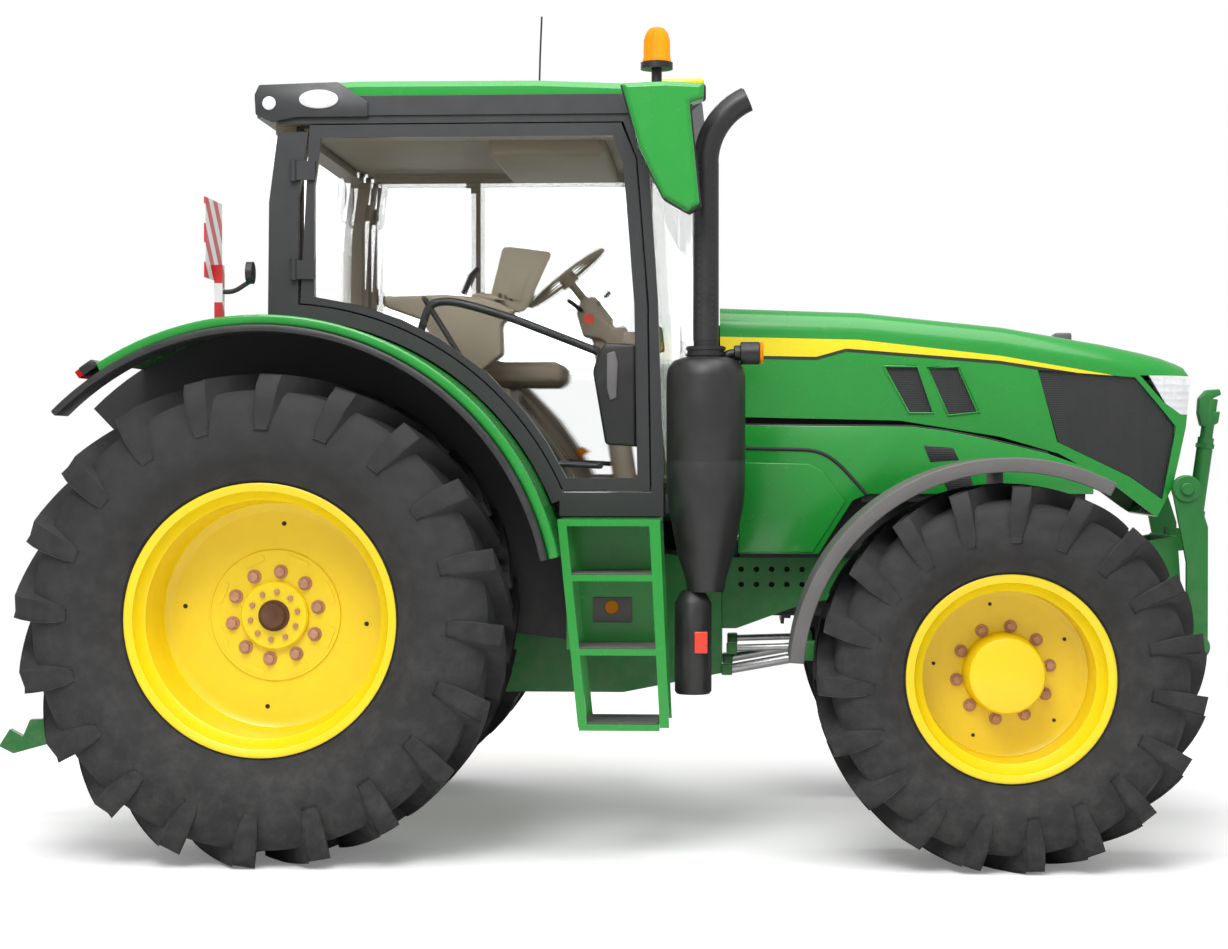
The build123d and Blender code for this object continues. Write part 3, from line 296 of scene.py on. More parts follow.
grain, grain_in, grain_out = effect(
    "surface_grain",
    [("Scale", FLOAT, 200.0), ("Coarse Share", FLOAT, 0.3)],
    [("Height", FLOAT)])
where = add(grain, "ShaderNodeTexCoord")
fine = add(grain, "ShaderNodeTexNoise")
fine.inputs["Detail"].default_value = 3
link(grain, where.outputs["Object"], fine.inputs["Vector"])
link(grain, grain_in.outputs["Scale"], fine.inputs["Scale"])
coarse = add(grain, "ShaderNodeTexNoise")
coarse.inputs["Detail"].default_value = 4
coarse_scale = add(grain, "ShaderNodeMath", operation="MULTIPLY")
coarse_scale.inputs[1].default_value = 0.08
link(grain, grain_in.outputs["Scale"], coarse_scale.inputs[0])
link(grain, coarse_scale.outputs[0], coarse.inputs["Scale"])
link(grain, where.outputs["Object"], coarse.inputs["Vector"])
both = add(grain, "ShaderNodeMix")
link(grain, grain_in.outputs["Coarse Share"], both.inputs["Factor"])
link(grain, fine.outputs["Fac"], both.inputs["A"])
link(grain, coarse.outputs["Fac"], both.inputs["B"])
link(grain, both.outputs["Result"], grain_out.inputs["Height"])
print("effects", [g.name for g in bpy.data.node_groups])

# %% [markdown]
# ## Finishes
#
# `finish` makes one material from the two effects and a Principled shader. The numbers
# say what the surface is: gloss enamel has a clear coat and low roughness, rubber is
# rough and grey with dust, moulded plastic has a fine grain in its bump.

# %% A finish from the shared effects


def finish(name, base, rough=(0.3, 0.45), metal=0.0, coat=0.0, tone_change=0.12,
           tone_scale=2.0, dust=0.1, dust_colour=(0.3, 0.27, 0.22), dust_top=1.2,
           grain_scale=220.0, bump=0.02, coarse=0.3, specular=0.5):
    """A material with tone, dust and grain; returns it with its shader and colour node."""
    made = bpy.data.materials.new(name)
    made.use_nodes = True
    tree = made.node_tree
    shader = tree.nodes["Principled BSDF"]
    tones = add(tree, "ShaderNodeGroup", node_tree=tone)
    tones.inputs["Base"].default_value = (*base, 1)
    tones.inputs["Dust"].default_value = (*dust_colour, 1)
    tones.inputs["Tone Change"].default_value = tone_change
    tones.inputs["Tone Scale"].default_value = tone_scale
    tones.inputs["Dust Amount"].default_value = dust
    tones.inputs["Dust Top"].default_value = dust_top
    tones.inputs["Rough Low"].default_value = rough[0]
    tones.inputs["Rough High"].default_value = rough[1]
    link(tree, tones.outputs["Colour"], shader.inputs["Base Color"])
    link(tree, tones.outputs["Roughness"], shader.inputs["Roughness"])
    shader.inputs["Metallic"].default_value = metal
    shader.inputs["Coat Weight"].default_value = coat
    shader.inputs["Coat Roughness"].default_value = 0.08
    shader.inputs["Specular IOR Level"].default_value = specular
    grains = add(tree, "ShaderNodeGroup", node_tree=grain)
    grains.inputs["Scale"].default_value = grain_scale
    grains.inputs["Coarse Share"].default_value = coarse
    relief = add(tree, "ShaderNodeBump")
    relief.inputs["Strength"].default_value = bump
    relief.inputs["Distance"].default_value = 0.002
    link(tree, grains.outputs["Height"], relief.inputs["Height"])
    link(tree, relief.outputs["Normal"], shader.inputs["Normal"])
    return made


green_paint = finish("green_enamel", (0.014, 0.29, 0.034), (0.2, 0.3), coat=0.3,
                     tone_change=0.06, dust=0.04)
green_cast = finish("green_castings", (0.012, 0.2, 0.03), (0.38, 0.55), coat=0.1,
                    tone_change=0.25, tone_scale=4, dust=0.35, grain_scale=90, bump=0.25)
rim_yellow = finish("yellow_wheel_enamel", (0.93, 0.70, 0.003), (0.3, 0.42), coat=0.25,
                    tone_change=0.08, dust=0.12, dust_colour=(0.42, 0.33, 0.1), dust_top=1.6)
tyre_rubber = finish("tyre_rubber", (0.032, 0.032, 0.033), (0.66, 0.85), tone_change=0.3,
                     tone_scale=5, dust=0.35, dust_colour=(0.11, 0.105, 0.1), dust_top=2.2,
                     grain_scale=160, bump=0.25, specular=0.3)
black_plastic = finish("black_moulding", (0.012, 0.012, 0.013), (0.35, 0.5), dust=0.12,
                       grain_scale=420, bump=0.12)
grey_frame = finish("charcoal_frame", (0.028, 0.029, 0.031), (0.3, 0.42), coat=0.15,
                    tone_change=0.15, dust=0.12, grain_scale=300, bump=0.06)
roof_grey = finish("roof_moulding", (0.035, 0.037, 0.039), (0.3, 0.42), dust=0.06,
                   grain_scale=380, bump=0.1)
fender_black = finish("fender_moulding", (0.022, 0.022, 0.023), (0.36, 0.52), dust=0.3,
                      dust_colour=(0.1, 0.1, 0.1), dust_top=2.6, grain_scale=240, bump=0.12)
strip_grey = finish("front_fender_plastic", (0.12, 0.115, 0.112), (0.42, 0.55), dust=0.25,
                    dust_colour=(0.2, 0.19, 0.18), dust_top=2.4, grain_scale=260, bump=0.12)
exhaust_black = finish("exhaust_coating", (0.02, 0.02, 0.02), (0.34, 0.5), tone_change=0.3,
                       tone_scale=5, dust=0.2, dust_colour=(0.09, 0.09, 0.085), dust_top=2.4,
                       grain_scale=180, bump=0.12)
beige_trim = finish("beige_trim", (0.3, 0.25, 0.18), (0.5, 0.65), tone_change=0.12,
                    dust=0.05, grain_scale=420, bump=0.2)
steel = finish("worked_steel", (0.5, 0.5, 0.5), (0.25, 0.42), metal=1.0, dust=0.1,
               tone_change=0.2, tone_scale=12, grain_scale=160, bump=0.08)
nut_copper = finish("weathered_nuts", (0.58, 0.3, 0.2), (0.35, 0.5), metal=0.3, dust=0.25,
                    tone_change=0.3, tone_scale=18)
axle_rust = finish("rusted_axle_end", (0.14, 0.055, 0.025), (0.6, 0.8), metal=0.2, dust=0.3,
                   tone_change=0.5, tone_scale=22, grain_scale=120, bump=0.4)
receiver_yellow = finish("receiver_shell", (0.8, 0.62, 0.01), (0.25, 0.35), coat=0.3, dust=0.05)
# A near-black for dark inner parts, and for painted shade where wells, recesses, slots and the
# exhaust's mouth lie in shade.
dark_and_painted_shade = finish("dark_parts_and_painted_shade", (0.016, 0.016, 0.017), (0.5, 0.65), dust=0.2)
print("finishes", len(bpy.data.materials))
# %% [markdown]
# ## Helpers for pieces
#
# Every new piece is a mesh whose object stays at the origin, rides on a body of the
# frame and carries its finish.

# %% Make a piece ride


def piece(bm, name, body, material, smooth=40.0, replaces=()):
    """Turn a bmesh into a finished piece on one body; edges over `smooth` degrees stay sharp."""
    bmesh.ops.remove_doubles(bm, verts=bm.verts[:], dist=1e-6)
    mesh = bpy.data.meshes.new(name)
    for face in bm.faces:
        face.smooth = True
    for edge in bm.edges:
        edge.smooth = edge.is_manifold and edge.calc_face_angle(0) < radians(smooth)
    bm.to_mesh(mesh)
    bm.free()
    obj = bpy.data.objects.new(name, mesh)
    bpy.context.scene.collection.objects.link(obj)
    for one in (material if isinstance(material, (list, tuple)) else [material]):
        mesh.materials.append(one)
    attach(obj, body)
    if replaces:
        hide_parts(*replaces)
    return obj


def body_of_node(node):
    """The name of the body that carries a CAD node."""
    return next(b for b, members in frame["record"]["behaviour"]["bodies"].items()
                if node in members)


# %% [markdown]
# ## Pressed and cast parts with softened edges
#
# A CAD solid has knife edges, and a real panel or casting never has: each edge is
# rounded and catches a thin line of light. The CAD mesh itself stays as it is. A copy
# is merged, its flat faces are joined into one, and a Bevel modifier rounds what is
# left. The copy then stands for the CAD node.

# %% Soften a CAD node


def soften(node, material, width, segments=2, angle=32.0):
    """A copy of a CAD node with rounded edges, standing for the node."""
    bm = bmesh.new()
    bm.from_mesh(nodes[node].data)
    bmesh.ops.remove_doubles(bm, verts=bm.verts[:], dist=2e-5)
    bmesh.ops.dissolve_limit(bm, angle_limit=radians(0.6), verts=bm.verts[:],
                             edges=bm.edges[:])
    obj = piece(bm, f"{node}_finished", body_of_node(node), material,
                smooth=angle, replaces=[node])
    if width:
        bevel = obj.modifiers.new("soft_edges", "BEVEL")
        bevel.width = width
        bevel.segments = segments
        bevel.limit_method = "ANGLE"
        bevel.angle_limit = radians(angle)
        bevel.harden_normals = True
        bevel.use_clamp_overlap = True
    return obj


def paint(node, material):
    """Give a CAD node, whose shape stays, a finish in place of its plain colour."""
    mesh = nodes[node].data
    mesh.materials.clear()
    mesh.materials.append(material)


# %% [markdown]
# ## Tyres
#
# A tractor tyre is a casing of revolution with two rows of bars, called lugs. Each
# lug starts near the middle, sweeps back to the shoulder and runs down the side wall.
# The casing is one profile spun round the axle. A lug starts as a box that is cut into
# slices along its length and then wrapped on the casing, so that it follows the curve.

# %% Casing


def spin_profile(bm, points, steps):
    """Spin (y, radius) points round the Y axis into a closed skin."""
    verts = [bm.verts.new((radius, y, 0)) for y, radius in points]
    edges = [bm.edges.new(pair) for pair in zip(verts, verts[1:])]
    bmesh.ops.spin(bm, geom=verts + edges, cent=(0, 0, 0), axis=(0, 1, 0), dvec=(0, 0, 0),
                   angle=2 * pi, steps=steps, use_merge=True, use_duplicate=False)
    bmesh.ops.remove_doubles(bm, verts=bm.verts[:], dist=1e-5)


def outward(bm):
    """Point every face outwards."""
    bmesh.ops.recalc_face_normals(bm, faces=bm.faces[:])


def casing_profile(tip, width, flange, rim_width):
    """The section of a tyre from one bead round the tread to the other, as (y, radius)."""
    half = width / 2
    crown = tip - LUG_DEPTH
    bead = rim_width / 2 - 0.0095
    drop = crown - flange
    side = [(bead, flange - 0.024), (bead, flange + 0.004), (bead + 0.012, flange + 0.012),
            (bead + 0.016, flange + 0.026), (half - 0.020, flange + 0.24 * drop),
            (half - 0.006, flange + 0.34 * drop), (half - 0.002, flange + 0.46 * drop),
            (half - 0.006, flange + 0.60 * drop), (half - 0.016, flange + 0.76 * drop),
            (half - 0.030, flange + 0.88 * drop), (half - 0.060, crown - 0.012),
            (half * 0.55, crown - 0.004)]
    return side + [(0, crown)] + [(-y, r) for y, r in reversed(side)]


LUG_DEPTH = 0.052
LUG_SLICES = 12
SHOULDER = 0.62                    # share of a lug's length that lies on the tread


# %% One lug


def lug_track(u, tip, width):
    """Where a lug's middle is at share u of its length: y, radius, sweep and outward lean."""
    half = width / 2
    crown = tip - LUG_DEPTH
    if u < SHOULDER:
        t = u / SHOULDER
        y = 0.006 + t * (half - 0.046)
        return y, crown - 0.006 * t * t, t ** 1.15, 0.10 * t
    t = (u - SHOULDER) / (1 - SHOULDER)
    return (half - 0.040 + 0.034 * sin(t * pi / 2), crown - 0.006 - 0.150 * t, 1 + 0.10 * t,
            0.10 + (pi / 2 - 0.10) * min(1, 1.35 * t))


def wrap_lug(verts, tip, width, sweep, bar, turn):
    """Lay a straight box, 0..1 long, on the casing; sweep is its run back in metres."""
    for vert in verts:
        u, across, up = vert.co
        y, radius, back, lean = lug_track(u, tip, width)
        fall = max(0.0, (u - SHOULDER) / (1 - SHOULDER))
        height = LUG_DEPTH * (1 - 0.62 * fall ** 1.6) if up > 0 else -0.012
        wide = bar * (1.0 + 0.60 * u * u) * (0.84 if up > 0 else 1.06)
        wide *= 1 - 0.42 * fall * fall
        r = radius + height * cos(lean)
        side = min(y + height * sin(lean), width / 2 - 0.0005)
        r = min(r, tip)
        angle = turn - (back * sweep + across * wide) / tip
        vert.co = (r * sin(angle), side, r * cos(angle))


def tyre(bm, tip, width, flange, rim_width, lugs, sweep, bar):
    """A whole tyre about the Y axis, apex of the tread forward at the top."""
    spin_profile(bm, casing_profile(tip, width, flange, rim_width), 96)
    outward(bm)
    pitch = 2 * pi / lugs
    for index in range(lugs):
        for side in (1, -1):
            box = bmesh.new()
            bmesh.ops.create_cube(box, size=1.0)
            bmesh.ops.translate(box, vec=(0.5, 0, 0), verts=box.verts[:])
            along = [e for e in box.edges if abs(e.verts[0].co.x - e.verts[1].co.x) > 0.5]
            bmesh.ops.subdivide_edges(box, edges=along, cuts=LUG_SLICES)
            turn = pitch * (index + (0.5 if side < 0 else 0))
            wrap_lug(box.verts[:], tip, width, sweep, bar, turn)
            edges = [e for e in box.edges if e.calc_face_angle(0) > radians(35)]
            bmesh.ops.bevel(box, geom=edges, offset=0.004, offset_type="OFFSET", segments=2,
                            profile=0.5, affect="EDGES", material=-1)
            if side < 0:
                bmesh.ops.scale(box, vec=(1, -1, 1), verts=box.verts[:])
            outward(box)
            part = bpy.data.meshes.new("lug")
            box.to_mesh(part)
            box.free()
            bm.from_mesh(part)
            bpy.data.meshes.remove(part)


TYRES = {"rear": (0.915, 0.690, 0.510, 0.550, 20, 0.235, 0.080, REAR_AXLE, REAR_TRACK),
         "front": (0.709, 0.590, 0.383, 0.458, 19, 0.200, 0.068, FRONT_AXLE, FRONT_TRACK)}

for end, (tip, width, flange, rim_width, lugs, sweep, bar, axle, track) in TYRES.items():
    for side, name in ((1, "left"), (-1, "right")):
        bm = bmesh.new()
        tyre(bm, tip, width, flange, rim_width, lugs, sweep, bar)
        bmesh.ops.scale(bm, vec=(1, side, 1), verts=bm.verts[:])
        bmesh.ops.translate(bm, vec=axle + Vector((0, side * track, 0)), verts=bm.verts[:])
        outward(bm)
        made = piece(bm, f"{end}_tread_{name}", f"{end}_wheel_{name}",
                     tyre_rubber, smooth=34, replaces=[f"{end}_tyre_{name}"])
    print(end, "tyre", len(made.data.polygons), "faces")
# %% [markdown]
# ## Wheels
#
# A rim is a rolled section with a flange at each side, and a pressed disc is welded
# into it far back from the outer edge. The section is drawn once as points and spun
# round the axle. The nuts and the hub stand on the disc, and small dark rounds on it
# paint the shade seen through its holes.

# %% Rim, disc and hub


def ring_at(bm, y_from, y_to, outer, inner=0.0, steps=64, edge=0.0, centre=(0, 0)):
    """A round plate or ring about Y, its outer rim rounded by a small chamfer."""
    low, high = (y_from, outer - edge), (y_to, outer - edge)
    points = [(y_from, inner), low, (y_from + edge, outer), (y_to - edge, outer), high,
              (y_to, inner)]
    part = bmesh.new()
    spin_profile(part, points, steps)
    if inner > 0:
        rims = [e for e in part.edges if e.is_boundary]
        bmesh.ops.bridge_loops(part, edges=rims)
    bmesh.ops.translate(part, vec=(centre[0], 0, centre[1]), verts=part.verts[:])
    outward(part)
    merge(bm, part)


def merge(bm, part):
    """Add one bmesh to another and free it."""
    mesh = bpy.data.meshes.new("part")
    part.to_mesh(mesh)
    part.free()
    bm.from_mesh(mesh)
    bpy.data.meshes.remove(mesh)


def nut(bm, x, z, y_from, y_to, radius):
    """A hexagon nut with a chamfered top, standing on the disc."""
    part = bmesh.new()
    bmesh.ops.create_cone(part, cap_ends=True, segments=6, radius1=radius, radius2=radius,
                          depth=y_to - y_from)
    bmesh.ops.rotate(part, cent=(0, 0, 0), matrix=Matrix.Rotation(-pi / 2, 3, "X"),
                     verts=part.verts[:])
    bmesh.ops.translate(part, vec=(x, (y_from + y_to) / 2, z), verts=part.verts[:])
    top = [e for e in part.edges if all(v.co.y > y_to - 1e-4 for v in e.verts)]
    bmesh.ops.bevel(part, geom=top, offset=radius * 0.18, offset_type="OFFSET", segments=2,
                    profile=0.5, affect="EDGES", material=-1)
    merge(bm, part)


def rim_skin(bm, flange, rim_width, disc_y, disc_r, hub_r):
    """The rim with its disc as one spun wall, open only inside the hub."""
    half = rim_width / 2
    seat = flange - 0.026
    well = seat - 0.030
    t = 0.009
    back = disc_y - 0.032
    outline = [(half - t, flange - 0.002), (half - 0.002, flange), (half, flange - 0.003),
               (half, flange - 0.010), (half - 0.010, seat - t + 0.004),
               (half - 0.040, seat - t), (half - 0.070, well - t), (disc_y + 0.045, well - t),
               (disc_y + 0.020, well - t - 0.006), (disc_y - 0.004, disc_r + 0.020),
               (disc_y - 0.014, disc_r), (disc_y - 0.016, disc_r - 0.02),
               (disc_y - 0.016, hub_r), (back, hub_r), (back, well - t),
               (-half + 0.080, well - t), (-half + 0.045, seat - t), (-half, seat - t),
               (-half, flange), (-half + t, flange), (-half + t, seat),
               (-half + 0.045, seat), (-half + 0.080, well), (half - 0.080, well),
               (half - 0.045, seat), (half - t, seat), (half - t, flange - 0.002)]
    spin_profile(bm, outline, 96)
    outward(bm)


def settle(bm, side, axle, track):
    """Turn a left-hand wheel part into its place on either side of an axle."""
    bmesh.ops.scale(bm, vec=(1, side, 1), verts=bm.verts[:])
    bmesh.ops.translate(bm, vec=axle + Vector((0, side * track, 0)), verts=bm.verts[:])
    outward(bm)


def rear_wheel(side, name):
    """A rear rim with its disc, hub ring, nuts, bar axle and small dark rounds of painted hole
    shade.
    """
    body, slot = f"rear_wheel_{name}", "rim_yellow"
    face = -0.031
    bm = bmesh.new()
    rim_skin(bm, 0.510, 0.550, -0.015, 0.410, 0.100)
    ring_at(bm, face - 0.002, face + 0.008, 0.252, 0.100, 72, 0.003)
    ring_at(bm, face, 0.004, 0.130, 0.0, 48, 0.006)
    for index in range(8):
        disc_boss(bm, 2 * pi * (index + 0.5) / 8, 0.222, 0.088, 0.026, face + 0.0075)
    settle(bm, side, REAR_AXLE, REAR_TRACK)
    piece(bm, f"rear_rim_skin_{name}", body, rim_yellow, replaces=[f"rear_rim_{name}"])
    bm = bmesh.new()
    for index in range(10):
        angle = 2 * pi * (index + 0.3) / 10
        ring_at(bm, face + 0.006, face + 0.014, 0.027, 0, 24, 0.002,
                (0.168 * cos(angle), 0.168 * sin(angle)))
        nut(bm, 0.168 * cos(angle), 0.168 * sin(angle), face + 0.012, face + 0.036, 0.019)
        nut(bm, 0.092 * cos(angle), 0.092 * sin(angle), 0.003, 0.016, 0.011)
    settle(bm, side, REAR_AXLE, REAR_TRACK)
    piece(bm, f"rear_nuts_{name}", body, nut_copper)
    bm = bmesh.new()
    ring_at(bm, 0.002, 0.042, 0.046, 0.0, 36, 0.004)
    ring_at(bm, 0.002, 0.012, 0.060, 0.0, 36, 0.002)
    settle(bm, side, REAR_AXLE, REAR_TRACK)
    piece(bm, f"bar_axle_end_{name}", body, axle_rust)
    # Small dark rounds that paint the shade seen through the disc's holes.
    bm = bmesh.new()
    for index in range(1, 8, 2):
        angle = 2 * pi * (index + 0.5) / 8
        ring_at(bm, face + 0.0005, face + 0.0015, 0.009, 0, 16, 0,
                (0.352 * cos(angle + 0.3), 0.352 * sin(angle + 0.3)))
    settle(bm, side, REAR_AXLE, REAR_TRACK)
    piece(bm, f"rear_hand_hole_shade_{name}", body, hole_shade_dark)


def disc_boss(bm, angle, radius, length, width, y):
    """A rounded boss lying tangentially on the disc."""
    part = bmesh.new()
    bmesh.ops.create_grid(part, x_segments=1, y_segments=1, size=0.5)
    bmesh.ops.scale(part, vec=(length, width, 1), verts=part.verts[:])
    bmesh.ops.bevel(part, geom=part.verts[:], offset=width * 0.46, offset_type="OFFSET",
                    segments=5, profile=0.5, affect="VERTICES", material=-1)
    bmesh.ops.rotate(part, cent=(0, 0, 0), matrix=Matrix.Rotation(-pi / 2, 3, "X"),
                     verts=part.verts[:])
    bmesh.ops.translate(part, vec=(0, y, radius), verts=part.verts[:])
    bmesh.ops.rotate(part, cent=(0, 0, 0), matrix=Matrix.Rotation(angle, 3, "Y"),
                     verts=part.verts[:])
    result = bmesh.ops.extrude_face_region(part, geom=part.faces[:])
    moved = [v for v in result["geom"] if isinstance(v, bmesh.types.BMVert)]
    bmesh.ops.translate(part, vec=(0, 0.004, 0), verts=moved)
    outward(part)
    merge(bm, part)


def front_wheel(side, name):
    """A steered wheel's rim with its standing hub and ring of nuts."""
    body, slot = f"front_wheel_{name}", "rim_yellow"
    face = -0.045
    bm = bmesh.new()
    rim_skin(bm, 0.383, 0.458, -0.029, 0.300, 0.100)
    hub = [(face, 0.100), (face, 0.156), (face + 0.010, 0.150), (0.075, 0.146),
           (0.092, 0.138), (0.099, 0.120), (0.099, 0.0)]
    part = bmesh.new()
    spin_profile(part, hub, 72)
    outward(part)
    merge(bm, part)
    settle(bm, side, FRONT_AXLE, FRONT_TRACK)
    piece(bm, f"front_rim_skin_{name}", body, rim_yellow,
          replaces=[f"front_rim_{name}"])
    bm = bmesh.new()
    for index in range(10):
        angle = 2 * pi * (index + 0.25) / 10
        x, z = 0.176 * cos(angle), 0.176 * sin(angle)
        ring_at(bm, face - 0.001, face + 0.007, 0.024, 0, 24, 0.002, (x, z))
        nut(bm, x, z, face + 0.006, face + 0.026, 0.016)
    settle(bm, side, FRONT_AXLE, FRONT_TRACK)
    piece(bm, f"front_nuts_{name}", body, nut_copper)
    # Small dark rounds that paint the shade seen through the disc's holes.
    bm = bmesh.new()
    for index in range(5):
        angle = 2 * pi * (index + 0.4) / 5
        ring_at(bm, face + 0.0005, face + 0.0018, 0.007, 0, 14, 0,
                (0.262 * cos(angle), 0.262 * sin(angle)))
    settle(bm, side, FRONT_AXLE, FRONT_TRACK)
    piece(bm, f"front_disc_hole_shade_{name}", body, hole_shade_dark)


# Dark brown that paints the shade seen through the wheel discs' holes.
hole_shade_dark = finish("painted_hole_shade", (0.015, 0.012, 0.006), (0.7, 0.8), dust=0.1)
for side, name in ((1, "left"), (-1, "right")):
    rear_wheel(side, name)
    front_wheel(side, name)
print("wheels made")
# %% [markdown]
# ## Finishes that need their own nodes
#
# Glass is thin and nearly clear with a faint green. Lamp lenses are coloured glass
# over a reflector. The grille is a fine mesh, which at this size reads as a dark
# surface with rows of small dimples. The hood's yellow band is paint, so it is drawn
# in the material from the distance along and up the hood.

# %% Glass and lenses


def clear_glass(name, tint, rough=0.02, weight=1.0, alpha=1.0):
    """Thin glass: full transmission with a plain metallic of nought."""
    made = bpy.data.materials.new(name)
    made.use_nodes = True
    tree = made.node_tree
    shader = tree.nodes["Principled BSDF"]
    tones = add(tree, "ShaderNodeGroup", node_tree=tone)
    tones.inputs["Base"].default_value = (*tint, 1)
    tones.inputs["Dust"].default_value = (0.6, 0.58, 0.54, 1)
    tones.inputs["Tone Change"].default_value = 0.03
    tones.inputs["Dust Amount"].default_value = 0.02
    tones.inputs["Rough Low"].default_value = rough
    tones.inputs["Rough High"].default_value = rough + 0.03
    link(tree, tones.outputs["Colour"], shader.inputs["Base Color"])
    link(tree, tones.outputs["Roughness"], shader.inputs["Roughness"])
    shader.inputs["Metallic"].default_value = 0.0
    shader.inputs["Transmission Weight"].default_value = weight
    shader.inputs["IOR"].default_value = 1.12
    shader.inputs["Alpha"].default_value = alpha
    return made


window_glass = clear_glass("window_glass", (0.93, 0.96, 0.95), alpha=0.45)
amber_lens = clear_glass("amber_lens", (0.95, 0.33, 0.01), rough=0.12, weight=0.35)
red_lens = clear_glass("red_lens", (0.6, 0.015, 0.012), rough=0.12, weight=0.25)

# %% Fine mesh
mesh_screen = finish("grille_mesh", (0.02, 0.021, 0.022), (0.4, 0.55), dust=0.1, bump=0.0)
tree = mesh_screen.node_tree
where = add(tree, "ShaderNodeTexCoord")
cells = add(tree, "ShaderNodeTexVoronoi")
cells.inputs["Scale"].default_value = 110
cells.inputs["Randomness"].default_value = 0.0
link(tree, where.outputs["Object"], cells.inputs["Vector"])
dimple = add(tree, "ShaderNodeBump")
dimple.inputs["Strength"].default_value = 0.8
dimple.inputs["Distance"].default_value = 0.003
link(tree, cells.outputs["Distance"], dimple.inputs["Height"])
link(tree, dimple.outputs["Normal"], tree.nodes["Principled BSDF"].inputs["Normal"])

# %% Warning board stripes
board_paint = finish("board_white", (0.75, 0.74, 0.74), (0.35, 0.45), dust=0.1)
tree = board_paint.node_tree
where = add(tree, "ShaderNodeTexCoord")
slant = add(tree, "ShaderNodeVectorMath", operation="DOT_PRODUCT")
slant.inputs[1].default_value = (0, 7.0, 7.0)
link(tree, where.outputs["Object"], slant.inputs[0])
saw = add(tree, "ShaderNodeMath", operation="FRACT")
link(tree, slant.outputs["Value"], saw.inputs[0])
stripe = add(tree, "ShaderNodeMath", operation="GREATER_THAN")
stripe.inputs[1].default_value = 0.5
link(tree, saw.outputs[0], stripe.inputs[0])
two = add(tree, "ShaderNodeMix", data_type="RGBA")
two.inputs["B"].default_value = (0.5, 0.02, 0.02, 1)
shader = tree.nodes["Principled BSDF"]
link(tree, stripe.outputs[0], two.inputs["Factor"])
link(tree, shader.inputs["Base Color"].links[0].from_socket, two.inputs["A"])
link(tree, two.outputs["Result"], shader.inputs["Base Color"])

# %% Hood paint with its band
BAND_TOP = [(1690, 2004), (2250, 1990), (2810, 1925), (3240, 1850), (3300, 1836)]
BAND_LOW = [(1690, 1930), (2080, 1922), (2200, 1955), (2810, 1905), (3300, 1828)]


def band_height(tree, along, points):
    """The band's edge as a height over the hood's length, read from a float curve."""
    x0, x1 = place(1650, 0, 0).x, place(3350, 0, 0).x
    z0, z1 = 1.75, 2.05
    share = add(tree, "ShaderNodeMapRange")
    share.inputs["From Min"].default_value = x0
    share.inputs["From Max"].default_value = x1
    link(tree, along, share.inputs["Value"])
    curve = add(tree, "ShaderNodeFloatCurve")
    line = curve.mapping.curves[0]
    spots = [((place(x, 0, 0).x - x0) / (x1 - x0), (z / 1000 - z0) / (z1 - z0))
             for x, z in points]
    line.points[0].location = spots[0]
    line.points[1].location = spots[-1]
    for spot in spots[1:-1]:
        line.points.new(*spot)
    for point in line.points:
        point.handle_type = "VECTOR"
    curve.mapping.update()
    link(tree, share.outputs["Result"], curve.inputs["Value"])
    height = add(tree, "ShaderNodeMapRange")
    height.inputs["To Min"].default_value = z0
    height.inputs["To Max"].default_value = z1
    link(tree, curve.outputs["Value"], height.inputs["Value"])
    return height.outputs["Result"]


hood_paint = finish("hood_enamel", (0.014, 0.29, 0.034), (0.2, 0.3), coat=0.3,
                    tone_change=0.06, dust=0.04)
tree = hood_paint.node_tree
where = add(tree, "ShaderNodeTexCoord")
axes = add(tree, "ShaderNodeSeparateXYZ")
link(tree, where.outputs["Object"], axes.inputs[0])
top = band_height(tree, axes.outputs["X"], BAND_TOP)
low = band_height(tree, axes.outputs["X"], BAND_LOW)


def compare(tree, operation, first, second):
    """One test on two values, as a node's output."""
    test = add(tree, "ShaderNodeMath", operation=operation)
    for index, value in enumerate((first, second)):
        if isinstance(value, float):
            test.inputs[index].default_value = value
        else:
            link(tree, value, test.inputs[index])
    return test.outputs[0]


under = compare(tree, "LESS_THAN", axes.outputs["Z"], top)
over = compare(tree, "GREATER_THAN", axes.outputs["Z"], low)
ahead = compare(tree, "LESS_THAN", axes.outputs["X"], place(3300, 0, 0).x)
line_low = compare(tree, "SUBTRACT", low, 0.014)
over_line = compare(tree, "GREATER_THAN", axes.outputs["Z"], line_low)
band = compare(tree, "MULTIPLY", compare(tree, "MULTIPLY", under, over), ahead)
dark = compare(tree, "MULTIPLY", compare(tree, "MULTIPLY", under, over_line), ahead)
shader = tree.nodes["Principled BSDF"]
green = shader.inputs["Base Color"].links[0].from_socket
lined = add(tree, "ShaderNodeMix", data_type="RGBA")
lined.inputs["B"].default_value = (0.02, 0.03, 0.015, 1)
banded = add(tree, "ShaderNodeMix", data_type="RGBA")
banded.inputs["B"].default_value = (0.9, 0.72, 0.01, 1)
link(tree, dark, lined.inputs["Factor"])
link(tree, green, lined.inputs["A"])
link(tree, band, banded.inputs["Factor"])
link(tree, lined.outputs["Result"], banded.inputs["A"])
link(tree, banded.outputs["Result"], shader.inputs["Base Color"])
print("band from", BAND_TOP[0], "to", BAND_TOP[-1])

# %% [markdown]
# ## Dress the CAD's own parts
#
# Panels, castings and rails keep the CAD's shape. Those that show their edges get a
# softened copy; small hidden ones only get their finish.

